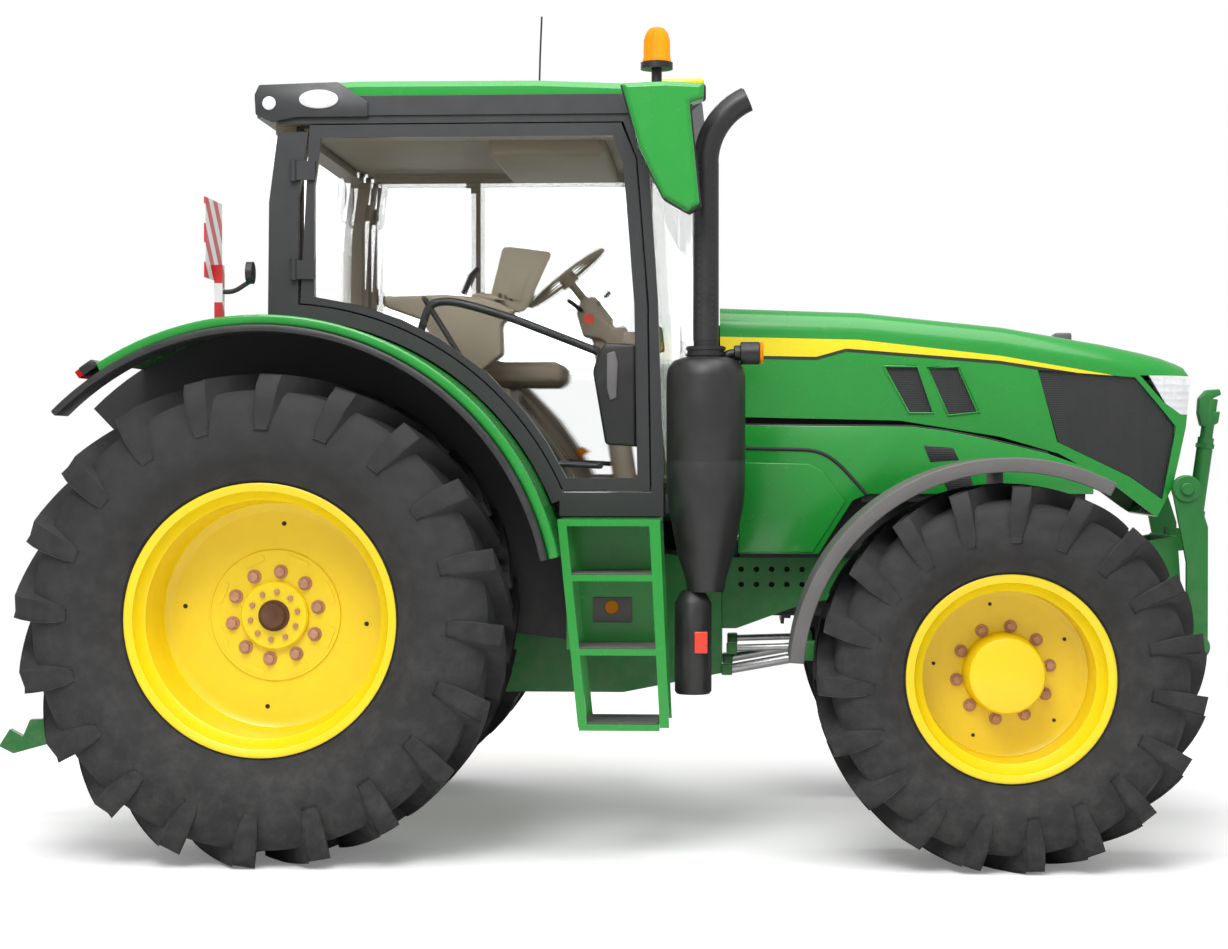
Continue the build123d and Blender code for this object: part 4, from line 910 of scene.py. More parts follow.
# %% Panels, frame and castings
SOFTENED = {
    "hood": (hood_paint, 0.003),
    "roof_cap": (green_paint, 0.006), "roof_base": (roof_grey, 0.008),
    "rear_fenders": (green_paint, 0.004),
    "front_fender_left": (strip_grey, 0.004), "front_fender_right": (strip_grey, 0.004),
    "cab_frame": (grey_frame, 0.004), "door_left": (grey_frame, 0.004),
    "door_right": (grey_frame, 0.004), "steps": (green_paint, 0.002),
    "front_frame": (green_cast, 0.003), "front_axle": (green_cast, 0.006),
    "knuckle_left": (green_cast, 0.004), "knuckle_right": (green_cast, 0.004),
    # The engine block is near-black: painted shade of the engine bay behind the panels.
    "transmission": (green_cast, 0.010), "engine_block": (dark_and_painted_shade, 0.006),
    "front_carrier": (green_cast, 0.004), "front_rocker": (green_cast, 0.004),
    "front_links": (green_cast, 0.006), "front_top_link": (green_cast, 0.003),
    "lower_links": (green_cast, 0.006), "lift_arms": (green_cast, 0.006),
    "lift_rods": (green_cast, 0.003), "top_link": (green_cast, 0.003),
    "drawbar": (green_cast, 0.004), "rear_brackets": (green_cast, 0.003),
    "mirrors": (green_paint, 0.006), "fuel_tank": (black_plastic, 0.012),
    "cowl": (dark_and_painted_shade, 0.003), "steering_column": (beige_trim, 0.010),
    "warning_boards": (board_paint, 0.0015),
}
for node, (material, width) in SOFTENED.items():
    soften(node, material, width)
for node, material in {
        "hood_screens": mesh_screen, "cab_windows": window_glass,
        "door_glass_left": window_glass, "door_glass_right": window_glass,
        "beacon": black_plastic, "pto_stub": steel}.items():
    paint(node, material)
print("dressed", len(SOFTENED), "CAD parts")

# %% [markdown]
# ## Builders for plates, boxes and bars
#
# Most of what is left is pressed plate, moulded block or bent bar. Each of these
# builders takes millimetres from the rear axle and rounds its own edges.

# %% Plates and boxes


def plate(bm, outline, y_from, y_to, round_by=0.0, segments=2):
    """A plate from an (x, z) outline, between two distances across, with rounded edges."""
    part = bmesh.new()
    face = part.faces.new([part.verts.new(place(x, y_from, z)) for x, z in outline])
    grown = bmesh.ops.extrude_face_region(part, geom=[face], use_keep_orig=True)
    moved = [v for v in grown["geom"] if isinstance(v, bmesh.types.BMVert)]
    bmesh.ops.translate(part, vec=(0, (y_to - y_from) / 1000, 0), verts=moved)
    outward(part)
    if round_by:
        bmesh.ops.bevel(part, geom=part.edges[:], offset=round_by / 1000,
                        offset_type="OFFSET", segments=segments, profile=0.5,
                        affect="EDGES", material=-1)
    merge(bm, part)


def box(bm, low, high, round_by=0.0, segments=2):
    """A block between two corners, with rounded edges."""
    outline = [(low[0], low[2]), (high[0], low[2]), (high[0], high[2]), (low[0], high[2])]
    plate(bm, outline, low[1], high[1], round_by, segments)


# %% Bars and hoses


def rounded(points, reach=40.0, steps=4):
    """Turn each inner corner of a path into a short curve."""
    spots = [Vector(p) for p in points]
    path = [spots[0]]
    for before, here, after in zip(spots, spots[1:], spots[2:]):
        back, on = before - here, after - here
        first = here + back.normalized() * min(reach, back.length * 0.45)
        last = here + on.normalized() * min(reach, on.length * 0.45)
        for step in range(steps + 1):
            t = step / steps
            path.append(first.lerp(here, t).lerp(here.lerp(last, t), t))
    return path + [spots[-1]]


def tube(bm, points, radius, sides=12):
    """A round bar along a path, its ends closed; its rings turn with the path."""
    part = bmesh.new()
    spots = [place(*p) for p in points]
    rings, turn, heading = [], None, Vector((0, 0, 1))
    for index, spot in enumerate(spots):
        ahead = spots[min(index + 1, len(spots) - 1)] - spot
        behind = spot - spots[max(index - 1, 0)]
        along = (ahead.normalized() + behind.normalized()).normalized()
        step = heading.rotation_difference(along)
        turn = step if turn is None else step @ turn
        heading = along
        at = Matrix.Translation(spot) @ turn.to_matrix().to_4x4()
        made = bmesh.ops.create_circle(part, segments=sides, radius=radius / 1000, matrix=at,
                                       cap_ends=index in (0, len(spots) - 1))
        rings.append(made["verts"])
    for low, high in zip(rings, rings[1:]):
        for i in range(sides):
            j = (i + 1) % sides
            part.faces.new((low[i], low[j], high[j], high[i]))
    outward(part)
    merge(bm, part)


def both_sides(bm):
    """Add a copy of everything in bm, mirrored to the tractor's other side."""
    twin = bm.copy()
    bmesh.ops.scale(twin, vec=(1, -1, 1), verts=twin.verts[:])
    bmesh.ops.reverse_faces(twin, faces=twin.faces[:])
    merge(bm, twin)


def face_y(node, x, z):
    """How far out, in mm, the tractor's right side of a CAD node is at a place."""
    bm = bmesh.new()
    bm.from_mesh(nodes[node].data)
    where = BVHTree.FromBMesh(bm).ray_cast(place(x, -3000, z), (0, 1, 0))[0]
    bm.free()
    return where.y * 1000 if where else None


# %% [markdown]
# ## Wheel wells
#
# Under each fender, between tyre and cab, the well lies in shade. That shade is painted:
# one near-black flat ring sector on each side, just clear of the tyre.

# %% Painted well shade
bm = bmesh.new()
WELL_IN, WELL_OUT = 560, 1128
for side in (-1, 1):
    sector = []
    for radius, angles in ((WELL_OUT, range(-6, 137, 3)), (WELL_IN, range(136, -7, -3))):
        for angle in angles:
            a = radians(angle)
            sector.append((radius * cos(a), 915 + radius * sin(a)))
    plate(bm, sector, side * 582.4, side * 583.4)
# Painted shade under the fender, as a near-black sheet.
piece(bm, "wheel_well_painted_shade", "root", dark_and_painted_shade)
print("wheel wells from", WELL_IN, "to", WELL_OUT, "mm")

# %% [markdown]
# ## Cab shell in two tones
#
# The cab's posts are coated steel outside and carry moulded beige trim inside. One
# material holds both, split where the trim starts, so the posts keep their one shape.

# %% Two tones
TRIM_FROM_Y = 0.838
TRIM_FROM_Z = 1.42
TRIM_BEIGE = (0.27, 0.225, 0.165)
cab_shell = finish("cab_shell", (0.03, 0.031, 0.033), (0.34, 0.46), coat=0.1,
                   tone_change=0.1, dust=0.05, grain_scale=320, bump=0.08)
tree = cab_shell.node_tree
where = add(tree, "ShaderNodeTexCoord")
axes = add(tree, "ShaderNodeSeparateXYZ")
link(tree, where.outputs["Object"], axes.inputs[0])
out = compare(tree, "ABSOLUTE", axes.outputs["Y"], 0.0)
inner = compare(tree, "LESS_THAN", out, TRIM_FROM_Y)
above = compare(tree, "GREATER_THAN", axes.outputs["Z"], TRIM_FROM_Z)
trimmed = compare(tree, "MULTIPLY", inner, above)
two = add(tree, "ShaderNodeMix", data_type="RGBA")
two.inputs["A"].default_value = (0.03, 0.031, 0.033, 1)
two.inputs["B"].default_value = (*TRIM_BEIGE, 1)
link(tree, trimmed, two.inputs["Factor"])
tones = next(n for n in tree.nodes if n.type == "GROUP" and n.node_tree == tone)
link(tree, two.outputs["Result"], tones.inputs["Base"])
for node in ("cab_frame", "door_left", "door_right"):
    bpy.data.objects[f"{node}_finished"].data.materials[0] = cab_shell
print("trim inside", TRIM_FROM_Y, "m")

# %% Headliner
bm = bmesh.new()
box(bm, (66, -786, 2796), (1338, 786, 2829), 6)
box(bm, (776, -520, 2716), (1236, 520, 2800), 22, 3)
for side in (-1, 1):
    box(bm, (120, side * 700, 2752), (1330, side * 800, 2798), 12, 3)
piece(bm, "headliner", "root", beige_trim)

# %% [markdown]
# ## What is inside the cab
#
# Through the doors one sees the right-hand console with its screen and lever, the seat
# and the steering column. The seat's pads are foam under cloth, so they are blown up
# as cloth from boxes a little smaller, and the sewn channels are pressed in afterwards.

# %% Console, screen and lever
bm = bmesh.new()
plate(bm, [(350, 2165), (590, 2172), (764, 2158), (878, 2106), (847, 2075), (822, 2050),
           (826, 1931), (722, 1849), (560, 1955), (500, 2070), (352, 2122)],
      -470, -330, 12, 3)
plate(bm, [(700, 2178), (780, 2175), (830, 2150), (760, 2140), (690, 2150)], -455, -345, 8, 3)
piece(bm, "console_body", "root", beige_trim, replaces=["console"])
bm = bmesh.new()
plate(bm, [(816, 2363), (836, 2370), (1008, 2348), (1020, 2332), (918, 2112), (888, 2098),
           (841, 2112), (770, 2147), (764, 2160)], -410, -372, 9, 3)
plate(bm, [(880, 2282), (940, 2274), (892, 2146), (836, 2160)], -416, -408, 4)
piece(bm, "display_back", "root", beige_trim)
bm = bmesh.new()
plate(bm, [(830, 2352), (1000, 2332), (918, 2130), (785, 2160)], -372.5, -370, 0.5)
for x, z in ((812, 2170), (836, 2163), (856, 2156)):
    box(bm, (x - 7, -414, z - 9), (x + 7, -409, z + 9), 2)
tube(bm, [(660, -400, 2176), (690, -400, 2250), (722, -400, 2284)], 15, 16)
tube(bm, [(884, -350, 2120), (905, -350, 2150)], 9)
piece(bm, "console_controls", "root", black_plastic)
print("console made")

# %% Seat pads
CLOTH_VOXEL = 0.006
seat_cloth = finish("seat_fabric", (0.25, 0.205, 0.15), (0.75, 0.9), tone_change=0.12,
                    tone_scale=9, dust=0.05, grain_scale=900, bump=0.5, specular=0.2)


def applied(obj):
    """Bake an object's modifiers into its mesh."""
    graph = bpy.context.evaluated_depsgraph_get()
    baked = bpy.data.meshes.new_from_object(obj.evaluated_get(graph))
    obj.modifiers.clear()
    old = obj.data
    obj.data = baked
    bpy.data.meshes.remove(old)


def stuffed(name, low, high, cap, channels=(), replaces=()):
    """A pad blown up as cloth from a rounded box, with sewn channels across it."""
    bm = bmesh.new()
    box(bm, low, high, 26, 3)
    pad = piece(bm, name, "root", seat_cloth, smooth=180, replaces=replaces)
    skin = pad.modifiers.new("even_skin", "REMESH")
    skin.mode = "VOXEL"
    skin.voxel_size = CLOTH_VOXEL * 1
    applied(pad)
    start = [v.co.copy() for v in pad.data.vertices]
    cloth = pad.modifiers.new("blown", "CLOTH")
    cloth.settings.use_pressure = True
    cloth.settings.uniform_pressure_force = 4
    cloth.settings.effector_weights.gravity = 0
    for frame_number in range(1, 21):
        bpy.context.scene.frame_set(frame_number)
    applied(pad)
    bpy.context.scene.frame_set(1)
    for vert, was in zip(pad.data.vertices, start):
        move = vert.co - was
        if move.length > cap:
            vert.co = was + move.normalized() * cap
    for axis, level in channels:
        for vert in pad.data.vertices:
            near = (vert.co[axis] - level) / 0.009
            vert.co -= vert.normal * 0.006 * 2.718 ** (-near * near)
    for face in pad.data.polygons:
        face.use_smooth = True
    pad.modifiers.new("finer", "SUBSURF").levels = 1
    pad.modifiers["finer"].render_levels = 1
    print(name, len(pad.data.vertices), "points")


stuffed("seat_cushion", (640, -228, 1822), (1056, 228, 1902), 0.012,
        [(1, -0.115), (1, 0.115)], replaces=["seat_pads"])
stuffed("seat_back", (520, -215, 1908), (610, 215, 2130), 0.012, [(2, 2.02)])

# %% Seat base
bm = bmesh.new()
box(bm, (610, -165, 1330), (800, 165, 1700), 20, 3)
box(bm, (590, -205, 1700), (830, 205, 1806), 16, 3)
box(bm, (508, -60, 1760), (600, 60, 1960), 14, 3)
piece(bm, "seat_stand", "root", beige_trim, replaces=["seat_base"])

# %% Steering wheel and column
RAKE = radians(-38)
wheel_turn = Matrix.Translation(place(1050, 0, 2270)) @ Matrix.Rotation(RAKE, 4, "Y")
bm = bmesh.new()
bmesh.ops.create_circle(bm, segments=14, radius=0.0145,
                        matrix=Matrix.Translation((0.188, 0, 0))
                        @ Matrix.Rotation(pi / 2, 4, "X"))
bmesh.ops.spin(bm, geom=bm.verts[:] + bm.edges[:], cent=(0, 0, 0), axis=(0, 0, 1),
               dvec=(0, 0, 0), angle=2 * pi, steps=64, use_merge=True, use_duplicate=False)
for angle in (0.5 * pi, 1.17 * pi, 1.83 * pi):
    part = bmesh.new()
    bmesh.ops.create_cube(part, size=1.0)
    bmesh.ops.scale(part, vec=(0.160, 0.034, 0.011), verts=part.verts[:])
    bmesh.ops.bevel(part, geom=part.edges[:], offset=0.004, offset_type="OFFSET", segments=2,
                    profile=0.5, affect="EDGES", material=-1)
    bmesh.ops.translate(part, vec=(0.104, 0, -0.010), verts=part.verts[:])
    bmesh.ops.rotate(part, cent=(0, 0, 0), matrix=Matrix.Rotation(angle, 3, "Z"),
                     verts=part.verts[:])
    merge(bm, part)
for radius, middle, depth in ((0.040, -0.016, 0.046), (0.018, -0.085, 0.090)):
    bmesh.ops.create_cone(bm, cap_ends=True, segments=32, radius1=radius,
                          radius2=radius * 0.9, depth=depth,
                          matrix=Matrix.Translation((0, 0, middle)))
bmesh.ops.transform(bm, matrix=wheel_turn, verts=bm.verts[:])
outward(bm)
piece(bm, "steering_wheel_rim", "steering_wheel_body", beige_trim,
      replaces=["steering_wheel"])
bm = bmesh.new()
plate(bm, [(1088, 2128), (1108, 2176), (1160, 2196), (1190, 2160), (1196, 2105), (1244, 2062),
           (1300, 2066), (1318, 1960), (1262, 1950), (1196, 2010), (1120, 2020)],
      -72, 72, 14, 3)
piece(bm, "column_shroud", "root", beige_trim)
bm = bmesh.new()
tube(bm, [(1118, -70, 2128), (1090, -120, 2150), (1068, -190, 2165)], 9)
tube(bm, [(1180, -60, 2150), (1225, -110, 2190)], 5)
tube(bm, [(1218, -104, 2186), (1232, -122, 2200)], 12, 16)
piece(bm, "column_levers", "root", black_plastic)
hazard = finish("hazard_button", (0.85, 0.06, 0.03), (0.25, 0.35), dust=0.0)
bm = bmesh.new()
part = bmesh.new()
ring_at(part, -0.0765, -0.0715, 0.022, 0, 28, 0.002, (1.146 + SHIFT, 2.094))
merge(bm, part)
piece(bm, "hazard_switch", "root", hazard)
print("column made")
# %% [markdown]
# ## Doors, seals and grab rails
#
# Each door shuts on a rubber seal that hides the gap round it. Inside each door a bent
# black rail follows the lower edge of the glass, and the near door has its latch in a
# tall black housing at the front.

# %% Seals
bm = bmesh.new()
SEAL_Y = 802
SEAL_R = 1200
seal = [(1438, -SEAL_Y, 1402), (1426, -SEAL_Y, 2112), (1382, -SEAL_Y, 2662),
        (1326, -SEAL_Y, 2803), (84, -SEAL_Y, 2803), (84, -SEAL_Y, 2112)]
for x in (300, 480, 640, 811, 960, 1040):
    seal.append((x, -SEAL_Y, 915 + sqrt(SEAL_R ** 2 - x ** 2)))
seal.append((1092, -SEAL_Y, 1402))
seal.append(seal[0])
tube(bm, seal, 7.0, 8)
box(bm, (68, -807, 2075), (92, -798, 2795), 2)
box(bm, (86, -807, 2788), (1330, -798, 2806), 2)
both_sides(bm)
piece(bm, "door_seals", "root", black_plastic)

# %% Rails, latch and handle
for side, name in ((-1, "right"), (1, "left")):
    bm = bmesh.new()
    if side < 0:
        rail = [(545, 2010), (575, 2110), (643, 2124), (741, 2104), (898, 2055), (1232, 1925)]
        tube(bm, rounded([(x, -790, z) for x, z in rail], 45), 16)
        for x, z in ((560, 2040), (1232, 1925)):
            tube(bm, [(x, -790, z), (x, -812, z)], 11)
    brace = [(560, 2130), (735, 1850), (985, 1500), (1240, 1485)]
    tube(bm, rounded([(x, side * 792, z) for x, z in brace], 30), 11)
    for x, z in ((560, 2130), (1240, 1485)):
        tube(bm, [(x, side * 792, z), (x, side * 812, z)], 10)
    plate(bm, [(1262, 1957), (1376, 1950), (1378, 1560), (1262, 1568), (1214, 1850),
               (1240, 1928)], side * 812, side * 868, 12, 3)
    piece(bm, f"door_rails_{name}", f"door_{name}_body", black_plastic)
    bm = bmesh.new()
    plate(bm, [(1268, 1915), (1300, 1925), (1312, 1880), (1306, 1745), (1280, 1735),
               (1268, 1780)], side * 868, side * 877, 5, 3)
    piece(bm, f"door_handle_{name}", f"door_{name}_body", strip_grey)
bm = bmesh.new()
plate(bm, [(985, 1512), (1060, 1568), (1092, 1545), (1030, 1490)], 800, 806, 2)
piece(bm, "door_reflector_left", "door_left_body", amber_lens)
print("doors fitted")

# %% [markdown]
# ## Fender edge
#
# The green fender ends in a rolled edge, and a black rubber lip is riveted under it.
# From the side the green edge shows as a band above the lip.

# %% Rolled edge and lip


def sector(inner, outer, from_angle, to_angle, step=3, centre=(0, 915)):
    """The (x, z) outline of a ring sector about an axle."""
    ahead = [(radians(a), outer) for a in range(from_angle, to_angle + 1, step)]
    back = [(radians(a), inner) for a in range(to_angle, from_angle - 1, -step)]
    return [(centre[0] + r * cos(a), centre[1] + r * sin(a)) for a, r in ahead + back]


bm = bmesh.new()
plate(bm, sector(1096, 1134, 12, 123), -1196, -1124, 9, 3)
both_sides(bm)
piece(bm, "fender_edges", "root", green_paint)
bm = bmesh.new()
plate(bm, sector(1068, 1095, 12, 135), -1240, -1075, 8, 3)
plate(bm, sector(1090, 1118, 12, 135), -1122, -1075, 4)
both_sides(bm)
piece(bm, "fender_lip_skins", "root", fender_black, replaces=["fender_lips"])
print("fender edges made")

# %% [markdown]
# ## Roof, mirrors and lamps
#
# The roof's rear corners are dark mouldings that hold a long clear work lamp, whose
# lens over its reflector is drawn as a light grey face: a painted reflection. Mirror housings
# are green shells in a black rim, and the position lamps are black barrels with an amber end.

# %% Roof corners
bm = bmesh.new()
plate(bm, [(-88, 2912), (-70, 2950), (236, 2958), (352, 2880), (352, 2824), (76, 2824),
           (-22, 2806), (-84, 2836)], -869, -858, 5, 3)
both_sides(bm)
piece(bm, "roof_corners", "root", roof_grey)
bm = bmesh.new()
part = bmesh.new()
ring_at(part, -0.876, -0.868, 0.036, 0, 40, 0.003, (0, 0))
bmesh.ops.scale(part, vec=(2.1, 1, 1), verts=part.verts[:])
bmesh.ops.translate(part, vec=(0.162 + SHIFT, 0, 2.892), verts=part.verts[:])
merge(bm, part)
ring_at(bm, -0.876, -0.868, 0.026, 0, 32, 0.003, (-0.030 + SHIFT, 2.878))
both_sides(bm)
# Light grey face for the lamps: clear lenses over reflectors, drawn as a painted reflection of
# the white studio.
lamp_reflection_grey = finish("lamp_painted_reflection", (0.78, 0.79, 0.8), (0.08, 0.16), coat=0.6, dust=0.02,
                    bump=0.0)
tree = lamp_reflection_grey.node_tree
where = add(tree, "ShaderNodeTexCoord")
cells = add(tree, "ShaderNodeTexVoronoi")
cells.inputs["Scale"].default_value = 34
cells.inputs["Randomness"].default_value = 0.15
link(tree, where.outputs["Object"], cells.inputs["Vector"])
dimple = add(tree, "ShaderNodeBump")
dimple.inputs["Strength"].default_value = 0.6
dimple.inputs["Distance"].default_value = 0.008
link(tree, cells.outputs["Distance"], dimple.inputs["Height"])
link(tree, dimple.outputs["Normal"], tree.nodes["Principled BSDF"].inputs["Normal"])
piece(bm, "roof_work_lamps", "root", lamp_reflection_grey)

# %% Mirror rims
MIRROR = [(1336, 2905), (1496, 2911), (1641, 2902), (1641, 2848), (1589, 2830),
          (1626, 2458), (1582, 2429), (1489, 2485), (1403, 2664)]
bm = bmesh.new()
middle = (1500, 2700)
rim = [(middle[0] + (x - middle[0]) * 1.05, middle[1] + (z - middle[1]) * 1.022)
       for x, z in MIRROR]
plate(bm, [(x, min(z, 2912)) for x, z in rim], -1062, -1004, 8, 2)
both_sides(bm)
piece(bm, "mirror_rims", "root", black_plastic)

# %% Position lamps
bm = bmesh.new()


def barrel(bm, x_from, x_to, y, z, radius, edge=4.0):
    """A short round barrel lying along the tractor, in millimetres."""
    part = bmesh.new()
    ring_at(part, x_from / 1000, x_to / 1000, radius / 1000, 0, 36, edge / 1000)
    bmesh.ops.rotate(part, cent=(0, 0, 0), matrix=Matrix.Rotation(-pi / 2, 3, "Z"),
                     verts=part.verts[:])
    bmesh.ops.translate(part, vec=(SHIFT, y / 1000, z / 1000), verts=part.verts[:])
    outward(part)
    merge(bm, part)


for y in (-885, 896):
    barrel(bm, 1776, 1850, y, 1914, 43)
    barrel(bm, 1752, 1780, y, 1914, 30)
tube(bm, rounded([(1712, -885, 1896), (1735, -885, 1912), (1765, -885, 1914)], 10), 17)
box(bm, (1440, 856, 1842), (1750, 866, 1872), 2)
tube(bm, rounded([(1730, 862, 1858), (1745, 885, 1885), (1765, 896, 1914)], 15), 13)
piece(bm, "position_lamp_arms", "root", black_plastic,
      replaces=["marker_lamps"])
bm = bmesh.new()
for y in (-885, 896):
    barrel(bm, 1850, 1864, y, 1914, 42, 5)
piece(bm, "position_lamp_lenses", "root", amber_lens)
print("lamps made")

# %% [markdown]
# ## Exhaust
#
# The canister, stack and tip are round steel. The CAD draws them with flat sides, so
# they are turned again here, with the clamp rings at the neck and the heat shield with its
# slots. The shade in those slots and in the tip's mouth is painted, with near-black boxes and a
# disc.

# %% Turned exhaust


def turned(bm, x, y, stations, steps=56):
    """A body of revolution about an upright axis; stations are (z, radius) in mm."""
    part = bmesh.new()
    spin_profile(part, [(z / 1000, r / 1000) for z, r in stations], steps)
    bmesh.ops.rotate(part, cent=(0, 0, 0), matrix=Matrix.Rotation(pi / 2, 3, "X"),
                     verts=part.verts[:])
    bmesh.ops.translate(part, vec=place(x, y, 0), verts=part.verts[:])
    outward(part)
    merge(bm, part)


CAN = (1646, -885)
bm = bmesh.new()
turned(bm, *CAN, [(1010, 0), (1010, 70), (1060, 78), (1160, 110), (1330, 142), (1400, 149),
                  (1500, 150), (1506, 148), (1512, 150), (1826, 150), (1858, 143), (1884, 124),
                  (1897, 92), (1900, 72), (1940, 70), (1940, 0)])
turned(bm, *CAN, [(1902, 60), (1904, 78), (1912, 78), (1914, 60)])
turned(bm, *CAN, [(1924, 60), (1926, 76), (1936, 76), (1938, 60)])
turned(bm, 1598, -885, [(622, 0), (622, 62), (632, 70), (968, 70), (985, 60), (1012, 44),
                        (1020, 0)])
turned(bm, *CAN, [(1938, 0), (1938, 47), (2640, 47), (2640, 0)])
turned(bm, *CAN, [(1962, 46), (1962, 49), (2636, 49), (2636, 46)])
tip = []
for angle in range(0, 67, 6):
    a = radians(angle)
    tip.append((CAN[0] + 262 * (1 - cos(a)), CAN[1], 2636 + 262 * sin(a)))
tube(bm, tip, 48, 32)
box(bm, (1489, -848, 1300), (1562, -800, 1380), 6)
piece(bm, "exhaust_skin", "root", exhaust_black, smooth=50,
      replaces=["exhaust"])
# Painted shade: a near-black disc in the tip's mouth and near-black boxes in the shield's slots.
bm = bmesh.new()
a = radians(66)
part = bmesh.new()
bmesh.ops.create_cone(part, cap_ends=True, segments=32, radius1=0.042, radius2=0.042,
                      depth=0.003)
bmesh.ops.rotate(part, cent=(0, 0, 0), matrix=Matrix.Rotation(a, 3, "Y"), verts=part.verts[:])
bmesh.ops.translate(part, vec=place(*tip[-1]) + Vector((0.0015 * sin(a), 0, 0.0015 * cos(a))),
                    verts=part.verts[:])
merge(bm, part)
for row in range(26):
    for column in (-24, 0, 24):
        x, z = CAN[0] + column, 1990 + row * 25
        y = CAN[1] - sqrt(49 ** 2 - column ** 2)
        box(bm, (x - 4, y - 0.8, z), (x + 4, y + 2, z + 9))
piece(bm, "exhaust_slot_and_mouth_shade", "root", dark_and_painted_shade)
bm = bmesh.new()
plate(bm, [(1604, 780), (1654, 780), (1654, 862), (1604, 862)], -962, -950, 4, 3)
piece(bm, "side_reflector_right", "root", hazard)
bm = bmesh.new()
turned(bm, 1455, -780, [(3036, 0), (3036, 55), (3046, 55), (3050, 53), (3118, 51), (3145, 44),
                        (3164, 30), (3174, 0)])
piece(bm, "beacon_lens", "root", amber_lens, replaces=["beacon_dome"])
print("exhaust turned")

# %% Aerials
bm = bmesh.new()
tube(bm, [(930, 0, 2968), (932, 0, 3010)], 16, 20)
tube(bm, [(932, 0, 3005), (937, 0, 3200), (944, 0, 3366)], 4, 10)
box(bm, (1500, -40, 2946), (1540, 40, 3022), 4)
piece(bm, "aerial_rod", "root", black_plastic, replaces=["roof_aerials"])
bm = bmesh.new()
box(bm, (1440, -120, 3052), (1625, 120, 3084), 12, 4)
piece(bm, "receiver_top", "root", receiver_yellow)
bm = bmesh.new()
box(bm, (1444, -116, 3020), (1621, 116, 3054), 8, 3)
piece(bm, "receiver_foot", "root", green_paint)
# %% [markdown]
# ## Flanks and front
#
# Under the hood's sides a fixed green skin closes the engine bay down to the frame. It
# has a raised field and two mesh vents. The shade in the channel round the field is painted
# as a dark tube, and a dark joint line runs under the hood's edge. Ahead of it a near-black
# strip paints the shade of the wheel well. All of it stays above the steered tyre's path.

# %% Flank skins
FLANK_Y = 374
flank = [(1768, 1648), (2458, 1642), (2600, 1624), (2753, 1594), (2999, 1534), (3180, 1468),
         (3180, 1372), (2290, 1372), (2225, 1345), (2090, 1132), (1768, 1132)]
bm = bmesh.new()
plate(bm, flank, -FLANK_Y - 8, -FLANK_Y, 3)
plate(bm, [(1772, 1500), (2050, 1494), (2110, 1462), (2196, 1340), (2066, 1138),
           (1772, 1138)], -FLANK_Y - 15, -FLANK_Y - 7, 5, 3)
for x0, z0 in ((1780, 1300), (2080, 1200)):
    box(bm, (x0, -FLANK_Y - 1, z0), (x0 + 50, -272, z0 + 50), 3)
both_sides(bm)
piece(bm, "flank_skins", "root", green_paint, replaces=["side_panels"])
# Painted shade in the channel round the raised field, and a dark joint line under the hood's
# edge.
bm = bmesh.new()
channel = [(1772, 1556), (2085, 1548), (2165, 1500), (2280, 1372)]
tube(bm, rounded([(x, -FLANK_Y - 6, z) for x, z in channel], 60), 8)
tube(bm, [(1772, -FLANK_Y - 3, 1650), (2458, -FLANK_Y - 3, 1644), (2600, -FLANK_Y - 3, 1626),
          (2753, -FLANK_Y - 3, 1596), (2999, -FLANK_Y - 3, 1536)], 4)
both_sides(bm)
piece(bm, "flank_channel_shade_and_joint", "root", dark_and_painted_shade)
bm = bmesh.new()
for outline in ([(2508, 1566), (2625, 1556), (2648, 1508), (2534, 1500)],
                [(2572, 1452), (2690, 1452), (2712, 1384), (2604, 1384)]):
    plate(bm, outline, -FLANK_Y - 10, -FLANK_Y - 7, 1)
both_sides(bm)
piece(bm, "flank_vents", "root", mesh_screen)
# Painted shade: a near-black strip where the front wheel well lies in shade.
bm = bmesh.new()
box(bm, (2260, -FLANK_Y + 6, 1340), (3150, -FLANK_Y + 12, 1420), 1)
both_sides(bm)
piece(bm, "front_well_painted_shade", "root", dark_and_painted_shade)
print("flanks made")

# %% Vent frames and the hood's small parts


def on_hood(x, z, out=2.0):
    """A point of the hood's right side, a little outside it."""
    y = face_y("hood", x, z) or face_y("hood_screens", x, z) or -365
    return (x, y - out, z)


VENTS = ([(2349, 1884), (2485, 1882), (2547, 1696), (2451, 1696)],
         [(2523, 1878), (2651, 1882), (2731, 1700), (2607, 1686)])
bm = bmesh.new()
for corners in VENTS:
    loop = [on_hood(x, z, 1.0) for x, z in corners]
    tube(bm, loop + [loop[0]], 5, 8)
both_sides(bm)
piece(bm, "vent_frames", "hood_body", green_paint)
bm = bmesh.new()
box(bm, (3070, -55, 1990), (3140, 55, 2032), 9, 3)
piece(bm, "hood_top_sensor", "hood_body", strip_grey)

# %% [markdown]
# ## Linkage details
#
# The front top link ends in a hook with a locking claw, and has a threaded sleeve for
# its length. The folded lower links turn on round bosses. Two chromed rods run back
# from the front axle beside the frame.

